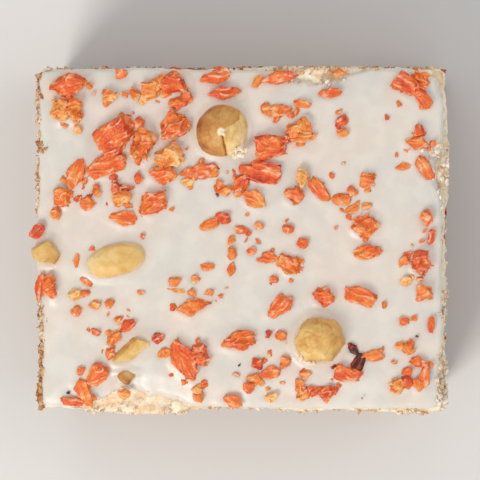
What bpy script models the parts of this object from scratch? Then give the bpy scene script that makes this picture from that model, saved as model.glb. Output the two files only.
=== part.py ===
"""A square slice of carrot cake: sponge, a thin cream layer and a white glaze, topped with carrot bits and hazelnuts.

Lengths are in metres, +Z is up, and the origin is the centre of the underside.
"""

import math
import random

import bmesh
import bpy
from mathutils import Matrix, Vector, noise

MM = 0.001

# The knife's cut gives the sponge its footprint.
SLICE_LENGTH = 75 * MM
SLICE_WIDTH = 63 * MM
SPONGE_HEIGHT = 29 * MM
CREAM_HEIGHT = 3 * MM
GLAZE_HEIGHT = 2.8 * MM
LAYER_GAP = 0.3 * MM
CUT_CORNER = 1.6 * MM

# How far each layer's edge stands in from the knife's cut.
SPONGE_INSET = 0.2 * MM
CREAM_INSET = 0.5 * MM
GLAZE_INSET = 1.0 * MM

# The crumb's relief on the cut faces.
CRAG_SIZE = 9 * MM
CRAG_DEPTH = 1.1 * MM
CRUMB_SIZE = 4.6 * MM
CREASE_DEPTH = 0.55 * MM
CREASE_WIDTH = 0.3
EDGE_WAVE_SIZE = 11 * MM
EDGE_WAVE = 0.35 * MM

# Mesh spacing of each layer's wall.
SPONGE_CELL = 2.3 * MM
CREAM_CELL = 1.9 * MM
GLAZE_CELL = 1.7 * MM
SPONGE_ROWS = 12
CREAM_ROWS = 3
GLAZE_ROUNDING = 1.1 * MM

SPONGE_TOP = SPONGE_HEIGHT
CREAM_BASE = SPONGE_TOP + LAYER_GAP
CREAM_TOP = CREAM_BASE + CREAM_HEIGHT
GLAZE_BASE = CREAM_TOP + LAYER_GAP
GLAZE_TOP = GLAZE_BASE + GLAZE_HEIGHT

# Where the cream and glaze swell past the cut or fall short of it: across, back, reach and how far out, in mm.
CREAM_SWELLS = (
    (-19.0, -31.5, 9.0, 1.1),
    (10.0, 31.5, 10.0, 0.5),
    (37.5, 13.0, 5.0, 1.0),
    (37.5, -26.0, 6.0, 0.8),
    (-37.5, 8.0, 8.0, 0.4),
    (-37.5, -20.0, 7.0, 0.3),
    (-2.0, -31.5, 6.0, -0.5),
)
GLAZE_SWELLS = (
    (-18.5, -31.5, 7.5, -3.4),
    (14.0, 31.5, 5.5, -2.4),
    (36.5, 31.0, 4.0, -1.6),
    (37.5, 12.5, 4.0, -1.5),
    (37.0, -25.0, 4.5, -1.0),
    (-37.5, -1.5, 5.0, 0.6),
    (-37.5, 24.0, 6.0, -0.3),
)

# Hazelnuts by hand from the photo: across, back, length, width, height and turn, in mm and degrees,
# then how far knobs stand out, in mm, and the share by which the middle is pinched.
NUTS = {
    "hazelnut_back": (-3.0, 19.8, 10.4, 10.0, 4.4, 40, 0.4, 0.0),
    "hazelnut_front": (14.5, -17.8, 10.2, 9.8, 4.4, 10, 1.0, 0.0),
    "hazelnut_blanched": (-22.3, -3.6, 12.0, 6.6, 2.8, 16, 0.4, 0.0),
    "hazelnut_edge": (-34.9, -2.4, 6.2, 5.6, 3.0, -25, 1.2, 0.0),
    "hazelnut_broken": (-19.5, -20.0, 8.8, 4.8, 3.0, 34, 0.9, 0.34),
    "hazelnut_chip": (-20.5, -24.9, 4.0, 3.0, 2.0, -15, 0.8, 0.0),
}
NUT_SINK = 1.0 * MM
NUT_GAP = 0.3 * MM
NUT_FACES = 3
NUT_KNOB_SIZE = 3.2 * MM
WAIST_REACH = 0.35

# The larger carrot pieces by hand from the photo: kind, across, back, length, width and turn, in mm and degrees.
CARROT_PIECES = (
    ("chunk", -30.8, 28.0, 6.4, 3.8, 20),
    ("curl", -32.4, 23.6, 3.3, 4.2, 0),
    ("curl", -29.6, 23.4, 3.2, 4.4, 10),
    ("chunk", -15.8, 27.0, 3.6, 3.2, 0),
    ("chunk", -11.5, 28.2, 4.8, 4.2, -20),
    ("flake", -4.3, 29.4, 5.0, 2.4, 10),
    ("chunk", -11.0, 24.6, 3.2, 2.4, 0),
    ("curl", -11.9, 20.9, 5.6, 4.8, 30),
    ("flake", -2.6, 26.6, 5.6, 2.4, 5),
    ("chunk", -21.9, 18.9, 7.6, 5.8, 35),
    ("curl", -17.2, 17.3, 4.6, 5.8, 0),
    ("curl", -12.8, 15.4, 5.0, 4.4, 10),
    ("chunk", -13.7, 11.8, 4.8, 3.4, 0),
    ("flake", -24.0, 13.4, 7.2, 3.6, 15),
    ("flake", -29.6, 12.0, 5.6, 3.0, 65),
    ("chunk", -31.8, 7.8, 3.6, 3.4, 0),
    ("chunk", -27.2, 6.8, 2.9, 2.8, 0),
    ("flake", -20.8, 4.0, 5.0, 2.6, -5),
    ("curl", -21.2, 7.8, 3.4, 2.8, 0),
    ("chunk", -15.6, 6.8, 5.6, 4.4, 35),
    ("flake", -6.4, 12.6, 5.4, 2.8, 10),
    ("chunk", 6.2, 16.9, 6.2, 4.4, 5),
    ("flake", 3.8, 12.6, 7.2, 4.0, -10),
    ("curl", 10.8, 20.0, 4.4, 4.4, 0),
    ("flake", 7.4, 23.4, 4.2, 2.2, 0),
    ("flake", 11.4, 24.6, 3.0, 1.4, -10),
    ("flake", 7.2, 29.4, 6.2, 2.3, 8),
    ("chunk", 30.0, 27.8, 4.6, 3.6, -40),
    ("flake", 33.0, 25.6, 3.8, 2.2, -50),
    ("flake", 16.4, 26.6, 4.0, 1.7, 5),
    ("chunk", 31.8, 17.8, 3.8, 2.6, 0),
    ("flake", 33.4, 13.2, 4.4, 2.2, -55),
    ("flake", 2.8, 7.6, 4.6, 3.0, -30),
    ("curl", 22.8, 2.8, 4.9, 4.0, 0),
    ("curl", 23.2, -1.9, 4.8, 2.7, 0),
    ("chunk", 9.4, -3.9, 4.6, 4.0, -50),
    ("chunk", 10.0, 8.2, 3.4, 3.2, 0),
    ("flake", 14.4, 9.2, 4.8, 2.3, -55),
    ("curl", 32.7, -3.7, 3.4, 4.2, 0),
    ("chunk", 33.3, -9.2, 2.8, 3.0, 0),
    ("chunk", -8.0, -11.8, 6.0, 3.2, 12),
    ("chunk", 7.4, -11.6, 5.2, 3.2, 35),
    ("chunk", 15.2, -10.0, 3.8, 3.6, 0),
    ("flake", 21.8, -9.8, 5.6, 3.0, -20),
    ("curl", 0.0, -18.0, 6.0, 3.6, 10),
    ("flake", -10.0, -21.6, 7.6, 4.4, -65),
    ("flake", -7.4, -20.4, 3.6, 1.8, -60),
    ("chunk", -25.8, -24.2, 4.8, 3.4, 35),
    ("flake", -28.3, -27.9, 5.4, 2.6, -70),
    ("flake", -30.2, -29.4, 4.2, 1.4, -5),
    ("chunk", -34.4, -8.4, 2.5, 4.2, 10),
    ("chunk", 19.7, -24.0, 4.8, 2.8, -15),
    ("flake", 21.4, -22.2, 4.0, 2.2, 65),
    ("flake", 24.2, -20.6, 4.0, 2.0, 0),
    ("flake", 33.6, -24.3, 4.6, 2.0, 75),
    ("chunk", -20.4, -15.4, 3.4, 2.0, 35),
    ("chunk", -22.8, -17.8, 3.0, 2.2, 45),
    ("chunk", 23.2, 10.9, 3.0, 2.8, 0),
    ("chunk", -14.6, -17.6, 2.4, 2.0, 20),
)

# Pinches of small carrot grains: across, back and reach in mm, and how many fall there.
CARROT_PINCHES = (
    (-29.0, 26.5, 4.5, 3),
    (-19.0, 25.5, 6.0, 4),
    (-16.5, 13.5, 7.5, 6),
    (-28.0, 9.0, 5.0, 3),
    (-5.0, 9.5, 5.5, 4),
    (7.5, 21.0, 5.5, 3),
    (18.0, 8.0, 5.5, 4),
    (18.5, 20.5, 3.0, 2),
    (31.0, 18.5, 3.0, 2),
    (4.5, -0.5, 7.0, 5),
    (32.0, -1.0, 3.5, 3),
    (-28.0, -8.5, 6.5, 4),
    (-7.5, -7.5, 4.5, 3),
    (-23.0, -18.5, 4.5, 4),
    (4.5, -23.5, 5.0, 5),
    (13.0, -26.5, 2.5, 3),
    (29.5, -23.0, 4.5, 5),
    (28.0, -14.5, 4.0, 2),
    (-7.0, -26.0, 2.5, 2),
)
GRAIN_LEAST = 1.1 * MM
GRAIN_MOST = 2.4 * MM
SEED_OF_GRAINS = 11
TOPPING_MARGIN = 2.0 * MM
NUT_MARGIN = 0.4 * MM

# How high each kind of carrot piece is for its width, and how much of that is sunk in the glaze.
KIND_HEIGHT = {"chunk": 0.62, "curl": 0.7, "flake": 0.5, "grain": 0.7}
SUNK_SHARE = 0.34
LARGE_PIECE = 5.5 * MM
BIT_JITTER = 0.16


def clear_scene():
    for item in list(bpy.data.objects):
        bpy.data.objects.remove(item)


def make_material(name, colour, roughness):
    material = bpy.data.materials.new(name)
    material.use_nodes = True
    shader = material.node_tree.nodes["Principled BSDF"]
    shader.inputs["Base Color"].default_value = (*colour, 1.0)
    shader.inputs["Roughness"].default_value = roughness
    shader.inputs["Metallic"].default_value = 0.0
    return material


def link_mesh(name, form, material):
    """Turns a bmesh into a named object with its material."""
    mesh = bpy.data.meshes.new(name)
    form.to_mesh(mesh)
    form.free()
    mesh.materials.append(material)
    made = bpy.data.objects.new(name, mesh)
    bpy.context.scene.collection.objects.link(made)
    return made


def corner_arc(centre, radius, start, steps):
    """Points along a quarter circle, with the outward direction at each."""
    found = []
    for step in range(steps + 1):
        angle = start + math.pi / 2 * step / steps
        out = Vector((math.cos(angle), math.sin(angle), 0))
        found.append((centre + out * radius, out))
    return found


def slice_outline(inset, cell):
    """The slice's outline with round corners, anticlockwise from above, as points and outward directions."""
    half_x = SLICE_LENGTH / 2 - inset
    half_y = SLICE_WIDTH / 2 - inset
    flat_x, flat_y = half_x - CUT_CORNER, half_y - CUT_CORNER
    corners = ((1, 1), (-1, 1), (-1, -1), (1, -1))
    arcs = [
        corner_arc(Vector((sx * flat_x, sy * flat_y, 0)), CUT_CORNER, math.pi / 2 * turn, 2)
        for turn, (sx, sy) in enumerate(corners)
    ]
    outline = []
    for turn, arc in enumerate(arcs):
        outline.extend(arc)
        start, out = arc[-1]
        end = arcs[(turn + 1) % 4][0][0]
        steps = max(2, round((end - start).length / cell))
        outline.extend((start.lerp(end, step / steps), out) for step in range(1, steps))
    return outline


def swell_at(point, swells):
    """How far a layer's edge swells out at this point of its outline."""
    total = 0.0
    for across, back, reach, out in swells:
        away = (Vector((point.x, point.y)) - Vector((across, back)) * MM).length
        total += out * MM * math.exp(-((away / (reach * MM)) ** 2))
    return total


def edge_wave(point, seed):
    """A gentle unevenness of a layer's edge."""
    return EDGE_WAVE * noise.noise(point / EDGE_WAVE_SIZE + Vector((seed, 0, 0)))


def crag_depth(point):
    """How deep the crumb's relief lies behind the knife's cut at this point."""
    broad = noise.fractal(point / CRAG_SIZE, 1.0, 2.0, 2)
    near = noise.voronoi(point / CRUMB_SIZE)[0]
    crease = max(0.0, 1 - (near[1] - near[0]) / CREASE_WIDTH)
    return CRAG_DEPTH * min(1.0, max(0.0, 0.35 - 0.5 * broad)) + CREASE_DEPTH * crease


def extruded_slab(outline, heights, offset_at):
    """A closed slab over the outline, one ring of points for each height.

    offset_at(point, share) says how far a wall point moves outwards, where share runs from 0 at the base to 1."""
    form = bmesh.new()
    rings = []
    for row, height in enumerate(heights):
        share = row / (len(heights) - 1)
        ring = []
        for point, out in outline:
            place = Vector((point.x, point.y, height))
            ring.append(form.verts.new(place + out * offset_at(place, share)))
        rings.append(ring)
    form.faces.new(list(reversed(rings[0])))
    form.faces.new(rings[-1])
    count = len(outline)
    for lower, upper in zip(rings, rings[1:]):
        for step in range(count):
            after = (step + 1) % count
            form.faces.new((lower[step], lower[after], upper[after], upper[step]))
    return form


def build_sponge(material):
    heights = [SPONGE_HEIGHT * row / SPONGE_ROWS for row in range(SPONGE_ROWS + 1)]
    form = extruded_slab(
        slice_outline(SPONGE_INSET, SPONGE_CELL),
        heights,
        lambda place, share: -crag_depth(place),
    )
    return link_mesh("sponge", form, material)


def build_cream(material):
    """The cream bulges where the knife dragged it and is thinner at its two faces."""
    heights = [CREAM_BASE + CREAM_HEIGHT * row / CREAM_ROWS for row in range(CREAM_ROWS + 1)]
    belly = 0.45 * MM

    def offset(place, share):
        bulge = belly * math.sin(math.pi * (0.15 + 0.7 * share))
        return bulge - belly + swell_at(place, CREAM_SWELLS) + edge_wave(place, 3.0)

    form = extruded_slab(slice_outline(CREAM_INSET, CREAM_CELL), heights, offset)
    return link_mesh("cream_layer", form, material)


def glaze_profile():
    """Heights of the glaze's rings and how far each stands in, so that its top edge is round."""
    steps = 3
    rings = [(GLAZE_BASE, 0.35 * MM), (GLAZE_BASE + 0.7 * MM, 0.0)]
    for step in range(steps + 1):
        angle = math.pi / 2 * step / steps
        height = GLAZE_TOP - GLAZE_ROUNDING * (1 - math.sin(angle))
        rings.append((height, GLAZE_ROUNDING * (1 - math.cos(angle))))
    return rings


def build_glaze(material):
    rings = glaze_profile()
    insets = [inset for height, inset in rings]

    def offset(place, share):
        inset = insets[round(share * (len(insets) - 1))]
        return -inset + swell_at(place, GLAZE_SWELLS) + edge_wave(place, 7.0)

    outline = slice_outline(GLAZE_INSET, GLAZE_CELL)
    form = extruded_slab(outline, [height for height, inset in rings], offset)
    return link_mesh("glaze", form, material)


def near_a_nut(across, back, reach):
    """True if a disc of this reach, in metres, would touch a hazelnut."""
    for nut_x, nut_y, length, width, height, turn, knob, waist in NUTS.values():
        along = Matrix.Rotation(math.radians(-turn), 2) @ Vector((across - nut_x * MM, back - nut_y * MM))
        grown_x = length * MM / 2 + reach + NUT_MARGIN
        grown_y = width * MM / 2 + reach + NUT_MARGIN
        if (along.x / grown_x) ** 2 + (along.y / grown_y) ** 2 < 1:
            return True
    return False


def carrot_layout():
    """Every carrot piece as kind, across, back, length, width and turn, in metres and radians: first the pieces
    set by hand, then the grains of each pinch from one seeded draw."""
    layout = [
        (kind, across * MM, back * MM, length * MM, width * MM, math.radians(turn))
        for kind, across, back, length, width, turn in CARROT_PIECES
    ]
    draw = random.Random(SEED_OF_GRAINS)
    reach_x = SLICE_LENGTH / 2 - TOPPING_MARGIN
    reach_y = SLICE_WIDTH / 2 - TOPPING_MARGIN
    for across, back, reach, count in CARROT_PINCHES:
        for grain in range(count):
            angle = draw.uniform(0, 2 * math.pi)
            away = reach * MM * math.sqrt(draw.random())
            length = draw.uniform(GRAIN_LEAST, GRAIN_MOST)
            width = length * draw.uniform(0.6, 0.95)
            turn = draw.uniform(0, math.pi)
            x = min(reach_x, max(-reach_x, across * MM + away * math.cos(angle)))
            y = min(reach_y, max(-reach_y, back * MM + away * math.sin(angle)))
            if not near_a_nut(x, y, length / 2):
                layout.append(("grain", x, y, length, width, turn))
    return layout


def carrot_piece(index, kind, across, back, length, width, turn):
    """One carrot piece: a faceted lump, its points pushed about by a draw seeded with its index."""
    draw = random.Random(index)
    form = bmesh.new()
    fineness = 2 if length > LARGE_PIECE else 1
    bmesh.ops.create_icosphere(form, subdivisions=fineness, radius=0.5)
    for vert in form.verts:
        vert.co *= 1 + BIT_JITTER * draw.uniform(-1, 1)
    height = width * KIND_HEIGHT[kind]
    centre = Vector((across, back, GLAZE_TOP + height * (0.5 - SUNK_SHARE)))
    placed = Matrix.Translation(centre) @ Matrix.Rotation(turn, 4, "Z") @ Matrix.Diagonal((length, width, height, 1))
    bmesh.ops.transform(form, matrix=placed, verts=form.verts)
    return form


def nut_form(name, grow):
    """A hazelnut lump lying on its flat side, its faces moved out by grow."""
    across, back, length, width, height, turn, knob, waist = NUTS[name]
    form = bmesh.new()
    bmesh.ops.create_icosphere(form, subdivisions=NUT_FACES, radius=1.0)
    base = GLAZE_TOP - NUT_SINK
    size = Vector((length * MM / 2, width * MM / 2, height * MM + NUT_SINK))
    for vert in form.verts:
        way = vert.co.copy()
        pinch = 1 - waist * math.exp(-((way.x / WAIST_REACH) ** 2))
        lump = knob * MM * noise.noise(Vector((across, back, 0)) + way * length * MM / 2 / NUT_KNOB_SIZE)
        place = Vector((way.x * size.x, way.y * size.y * pinch, way.z * size.z * pinch))
        vert.co = place + way * (lump + grow)
    cut = bmesh.ops.bisect_plane(
        form,
        geom=list(form.verts) + list(form.edges) + list(form.faces),
        plane_co=(0, 0, -grow),
        plane_no=(0, 0, -1),
        clear_outer=True,
    )
    rim = [item for item in cut["geom_cut"] if isinstance(item, bmesh.types.BMEdge)]
    bmesh.ops.edgeloop_fill(form, edges=rim)
    bmesh.ops.recalc_face_normals(form, faces=form.faces)
    placed = Matrix.Translation((across * MM, back * MM, base)) @ Matrix.Rotation(math.radians(turn), 4, "Z")
    bmesh.ops.transform(form, matrix=placed, verts=form.verts)
    return form


def boolean_with(base, group, operation):
    """Applies one Boolean of the base with every object of the group, then removes the group's objects."""
    modifier = base.modifiers.new("fuse", "BOOLEAN")
    modifier.operand_type = "COLLECTION"
    modifier.collection = group
    modifier.operation = operation
    modifier.solver = "EXACT"
    graph = bpy.context.evaluated_depsgraph_get()
    made = bpy.data.meshes.new_from_object(base.evaluated_get(graph))
    base.modifiers.clear()
    base.data = made
    for item in list(group.objects):
        bpy.data.objects.remove(item)
    bpy.data.collections.remove(group)


def new_group(name):
    group = bpy.data.collections.new(name)
    bpy.context.scene.collection.children.link(group)
    return group


def move_to(group, item):
    bpy.context.scene.collection.objects.unlink(item)
    group.objects.link(item)


def fuse_toppings(glaze, material):
    group = new_group("carrot pieces")
    for index, piece in enumerate(carrot_layout()):
        item = link_mesh(f"carrot_{index}", carrot_piece(index, *piece), material)
        move_to(group, item)
    boolean_with(glaze, group, "UNION")


def cut_nut_pockets(glaze, material):
    group = new_group("nut pockets")
    for name in NUTS:
        move_to(group, link_mesh(f"pocket_{name}", nut_form(name, NUT_GAP), material))
    boolean_with(glaze, group, "DIFFERENCE")


def main():
    clear_scene()
    sponge_crumb = make_material("sponge_crumb", (0.34, 0.15, 0.055), 0.95)
    cream = make_material("cream", (0.80, 0.66, 0.48), 0.7)
    white_glaze = make_material("white_glaze", (0.84, 0.82, 0.78), 0.35)
    nut = make_material("hazelnut", (0.68, 0.47, 0.17), 0.55)
    build_sponge(sponge_crumb)
    build_cream(cream)
    glaze = build_glaze(white_glaze)
    fuse_toppings(glaze, white_glaze)
    cut_nut_pockets(glaze, white_glaze)
    for name in NUTS:
        link_mesh(name, nut_form(name, 0.0), nut)


main()
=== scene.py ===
"""The looks of the carrot cake slice: moist sponge, torn cream, white glaze, carrot bits and hazelnuts.

Lengths are in metres, +Z is up and -Y is the slice's front.
"""

import math
import random

import bmesh
import bpy
import numpy as np
from mathutils import Matrix, Vector, noise
from mathutils.bvhtree import BVHTree


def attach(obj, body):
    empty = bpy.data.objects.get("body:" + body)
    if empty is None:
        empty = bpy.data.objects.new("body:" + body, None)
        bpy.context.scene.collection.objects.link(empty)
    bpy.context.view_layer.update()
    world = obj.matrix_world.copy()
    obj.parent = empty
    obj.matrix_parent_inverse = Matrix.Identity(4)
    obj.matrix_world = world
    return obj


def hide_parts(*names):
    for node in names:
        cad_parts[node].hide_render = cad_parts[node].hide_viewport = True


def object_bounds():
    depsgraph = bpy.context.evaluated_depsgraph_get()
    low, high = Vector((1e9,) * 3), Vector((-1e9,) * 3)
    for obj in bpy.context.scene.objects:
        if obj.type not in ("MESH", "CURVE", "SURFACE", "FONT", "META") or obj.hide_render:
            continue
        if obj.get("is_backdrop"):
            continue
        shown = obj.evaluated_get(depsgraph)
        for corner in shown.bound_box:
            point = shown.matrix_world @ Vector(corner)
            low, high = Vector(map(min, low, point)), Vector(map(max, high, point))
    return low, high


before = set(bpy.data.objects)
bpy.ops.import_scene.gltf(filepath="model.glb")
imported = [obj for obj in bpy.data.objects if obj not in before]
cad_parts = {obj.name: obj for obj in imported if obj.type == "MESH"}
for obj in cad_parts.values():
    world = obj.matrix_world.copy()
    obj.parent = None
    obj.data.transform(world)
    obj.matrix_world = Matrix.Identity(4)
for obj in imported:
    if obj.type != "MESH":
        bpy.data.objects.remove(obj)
frame_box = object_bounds()
bpy.ops.object.select_all(action="DESELECT")

MM = 0.001
SEED_OF_NOISE = 1


def srgb(red, green, blue):
    """A colour given as 0 to 255 display values, as the shader's linear values."""
    shares = (value / 255 for value in (red, green, blue))
    linear = [share / 12.92 if share <= 0.04045 else ((share + 0.055) / 1.055) ** 2.4 for share in shares]
    return (*linear, 1.0)


# The slice, as its solids have it.
SLICE_LENGTH = 75 * MM
SLICE_WIDTH = 63 * MM
SPONGE_HEIGHT = 29 * MM
CREAM_HEIGHT = 3 * MM
GLAZE_HEIGHT = 2.8 * MM
LAYER_GAP = 0.3 * MM
CUT_CORNER = 1.6 * MM
CORNER_TURN = 8 * MM
SPONGE_INSET = 0.2 * MM
CREAM_INSET = 0.5 * MM
GLAZE_INSET = 1.0 * MM
GLAZE_ROUNDING = 1.1 * MM
CREAM_BASE = SPONGE_HEIGHT + LAYER_GAP
CREAM_TOP = CREAM_BASE + CREAM_HEIGHT
GLAZE_BASE = CREAM_TOP + LAYER_GAP
GLAZE_TOP = GLAZE_BASE + GLAZE_HEIGHT
LAYER_OVERLAP = 0.2 * MM
BOX_MARGIN = 0.05 * MM
LEVEL_TOLERANCE = 0.01 * MM

# The sponge's relief: crags and creases as in its solid, then pores by cell size, depth and share, then
# clumps by size and depth, and grain. Last, the share of the crags that is kept, how much painted shade
# each kind of hollow gets in its colour, and how finely the walls are cut.
CRAG_SIZE = 9 * MM
CRAG_DEPTH = 1.1 * MM
CRUMB_SIZE = 4.6 * MM
CREASE_DEPTH = 0.55 * MM
CREASE_WIDTH = 0.3
PORES = (
    (4.3 * MM, 1.4 * MM, 0.16),
    (2.8 * MM, 1.2 * MM, 0.32),
    (1.4 * MM, 0.7 * MM, 0.42),
)
PORE_FLATNESS = 1.35
PORE_WARP = 0.9 * MM
PORE_WARP_SIZE = 2.6 * MM
CLUMPS = ((2.1 * MM, 0.45 * MM), (1.0 * MM, 0.2 * MM))
CLUMP_CREASE = 0.45
CLUMP_WARP = 0.5
GRAIN_SIZE = 1.0 * MM
GRAIN_DEPTH = 0.24 * MM
CRAG_SHARE = 0.7
PORE_PAINTED_SHADE = 0.6
GRAIN_PAINTED_SHADE = 0.5
CLUMP_PAINTED_SHADE = 0.7
SPONGE_ROWS_CUT = 9
SPONGE_COLUMNS_CUT = 14

# How the edges of cream and glaze wave, how ragged they are torn, and how the glaze swells and droops.
EDGE_WAVE_SIZE = 11 * MM
EDGE_WAVE = 0.35 * MM
CREAM_BELLY = 0.45 * MM
CREAM_CELL = 0.5 * MM
CREAM_TEAR = 0.55 * MM
CREAM_TEAR_SIZE = 2.2 * MM
TEAR_MIDDLE = 0.2
TEAR_FLAT_ALONG = 0.7
TEAR_FLAT_UP = 2.2
CREAM_WAVE_SEED = 3.0
CREAM_EDGE_REACH = 4 * MM
CREAM_LEDGE_REACH = 8 * MM
LEDGE_LUMP = 1.9 * MM
LEDGE_FIBRE = 1.5 * MM
LEDGE_FIBRE_WIDTH = 0.3
LEDGE_MIDDLE = 0.4
LEDGE_ROUGHNESS = 0.6 * MM
GLAZE_CELL = 0.45 * MM
GLAZE_EDGE_REACH = 9 * MM
GLAZE_CHIP = 0.22 * MM
GLAZE_CHIP_SIZE = 2.6 * MM
GLAZE_BREAK = 0.25
GLAZE_ROLL = 0.6 * MM
GLAZE_ROLL_REACH = 6 * MM
GLAZE_SWELL = 0.28 * MM
GLAZE_SWELL_SIZE = 14 * MM
GLAZE_SAG = 0.12 * MM
GLAZE_DROOP = 0.5 * MM
GLAZE_DROOP_SIZE = 4 * MM
GLAZE_DROOP_REACH = 2 * MM
GLAZE_WAVE_SEED = 7.0
GLAZE_SMOOTHING = 4
SMOOTHING_FACTOR = 0.6

# How high the glaze climbs its toppings: a nut as a share of its height, carrot up to a height and a share
# of its width. How far in on a topping, as a share of it, the climb starts, and how far out it reaches.
NUT_CLIMB = 0.18
CARROT_CLIMB = 0.55 * MM
CLIMB_SHARE = 0.11
CLIMB_START = 0.92
CLIMB_REACH = 0.8 * MM

# Where the cream and glaze swell past the cut or fall short of it: across, back, reach and how far out, in
# mm.
CREAM_SWELLS = (
    (-19.0, -31.5, 9.0, 1.1),
    (10.0, 31.5, 10.0, 0.5),
    (37.5, 13.0, 5.0, 1.0),
    (37.5, -26.0, 6.0, 0.5),
    (-37.5, 8.0, 8.0, 0.1),
    (-37.5, -20.0, 9.0, -1.0),
    (-2.0, -31.5, 6.0, -0.5),
    (-22.0, 31.5, 20.0, -0.5),
)
GLAZE_SWELLS = (
    (-20.0, 31.5, 18.0, 0.5),
    (27.0, 31.5, 9.0, 0.4),
    (-18.5, -31.5, 7.5, -3.4),
    (14.0, 31.5, 5.5, -2.4),
    (36.5, 31.0, 4.0, -1.6),
    (37.5, 12.5, 4.0, -1.5),
    (37.0, -25.0, 4.5, -0.5),
    (-37.5, -1.5, 5.0, 0.6),
    (-37.5, 24.0, 6.0, -0.3),
    (-37.5, -20.0, 9.0, -0.7),
)

# Where the cream stands up in a mound: across, back, reach and height, in mm.
CREAM_MOUNDS = (
    (-18.0, -31.0, 7.0, 1.3),
    (12.0, 31.0, 7.0, 1.7),
    (37.0, 12.5, 4.0, 0.9),
)

# Hazelnuts: across, back, length, width, height and turn, in mm and degrees.
NUTS = {
    "hazelnut_back": (-3.0, 19.8, 10.4, 10.0, 4.4, 40),
    "hazelnut_front": (14.5, -17.8, 10.2, 9.8, 4.4, 10),
    "hazelnut_blanched": (-22.3, -3.6, 12.0, 6.6, 2.8, 16),
    "hazelnut_edge": (-34.9, -2.4, 6.2, 5.6, 3.0, -25),
    "hazelnut_broken": (-19.5, -20.0, 8.8, 4.8, 3.0, 34),
    "hazelnut_chip": (-20.5, -24.9, 4.0, 3.0, 2.0, -15),
}
NUT_SINK = 1.0 * MM

# Flat faces broken or pressed into each nut: the way a face looks, and how far out it lies as a share of
# the nut.
NUT_FACETS = {
    "hazelnut_back": (),
    "hazelnut_front": (
        ((1.0, 0.1, 0.2), 0.93),
        ((0.4, 0.9, 0.3), 0.93),
        ((-0.75, 0.7, 0.3), 0.9),
        ((-1.0, -0.25, 0.3), 0.94),
        ((-0.3, -1.0, 0.4), 0.9),
        ((0.75, -0.7, 0.35), 0.92),
    ),
    "hazelnut_blanched": (
        ((0.1, 0.2, 1.0), 0.86),
        ((1.0, 0.1, 0.15), 0.9),
        ((-1.0, -0.1, 0.2), 0.88),
        ((0.1, 1.0, 0.2), 0.9),
        ((0.0, -1.0, 0.25), 0.88),
    ),
    "hazelnut_edge": (
        ((0.1, 0.2, 1.0), 0.68),
        ((0.3, -1.0, 0.2), 0.68),
        ((1.0, -0.1, 0.2), 0.82),
        ((0.6, 1.0, 0.3), 0.74),
        ((-0.9, 0.6, 0.3), 0.76),
    ),
    "hazelnut_broken": (
        ((0.1, -0.25, 1.0), 0.62),
        ((-0.2, 0.6, 1.0), 0.74),
        ((0.3, -1.0, 0.15), 0.72),
        ((-0.35, 1.0, 0.15), 0.7),
        ((1.0, 0.45, 0.15), 0.76),
        ((-0.75, -0.65, 0.15), 0.7),
    ),
    "hazelnut_chip": (((0.2, 0.3, 1.0), 0.76), ((0.9, -0.3, 0.4), 0.74), ((-0.6, -0.9, 0.3), 0.8)),
}

# Spots on each nut: across and back from its middle, reach and how far it stands out, in mm, and the change
# of tone.
NUT_SPOTS = {
    "hazelnut_back": (
        (2.9, -3.4, 1.1, 0.45, -0.3),
        (1.6, -3.9, 0.8, 0.35, -0.22),
        (3.7, -2.3, 0.8, 0.2, -0.16),
        # Painted shade: a darker spot on the back kernel's left side.
        (-3.6, 0.5, 1.8, 0.0, 0.07),
        (0.6, 2.4, 2.0, 0.0, -0.04),
    ),
    # The front kernel is paler low down, partly its pale flesh and partly painted highlight, with a painted
    # glint in the middle below; the darker notch at its top is painted shade.
    "hazelnut_front": (
        (-2.1, 1.7, 1.5, 0.4, -0.07),
        (-0.3, 0.6, 0.7, -0.3, 0.1),
        (1.0, 2.6, 1.4, 0.3, 0.02),
        (2.6, 0.2, 1.5, 0.1, 0.1),
        (0.7, -2.5, 0.8, 0.4, -0.16),
        (-2.9, -2.9, 1.5, 0.1, -0.16),
        (2.2, -3.0, 1.1, 0.2, -0.04),
        (-0.6, 4.2, 0.9, -0.35, 0.12),
    ),
    "hazelnut_blanched": (
        (1.8, -0.2, 2.6, 0.1, 0.09),
        (-4.6, -1.4, 1.6, -0.1, -0.16),
        (-2.4, 1.0, 2.0, 0.05, -0.05),
    ),
    # The edge kernel's darker spots on its lower and lower right side are painted shade.
    "hazelnut_edge": ((-0.4, 0.8, 2.0, 0.0, -0.05), (0.6, -2.4, 1.1, 0.0, 0.2), (2.2, -1.2, 0.9, 0.1, 0.16)),
    "hazelnut_broken": (
        (2.0, -0.4, 2.0, 0.0, -0.1),
        (-1.6, -1.6, 1.4, 0.0, -0.12),
        (-1.9, 1.2, 1.3, 0.0, 0.3),
        (-3.4, -0.7, 1.1, 0.0, 0.24),
        (0.6, 2.0, 0.9, 0.0, 0.22),
    ),
    "hazelnut_chip": ((0.4, 0.9, 0.9, 0.0, -0.24), (-1.0, -0.6, 0.8, 0.1, 0.16), (0.9, -0.9, 0.6, 0.0, 0.14)),
}

# How often each nut is smoothed, and how much one of them is pinched at its waist.
NUT_SMOOTHING = {
    "hazelnut_back": 5,
    "hazelnut_front": 3,
    "hazelnut_blanched": 8,
    "hazelnut_edge": 1,
    "hazelnut_broken": 1,
    "hazelnut_chip": 1,
}
NUT_WAIST = {"hazelnut_broken": 0.2}
WAIST_REACH = 0.35
NUT_CELL = 0.2 * MM

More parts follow.
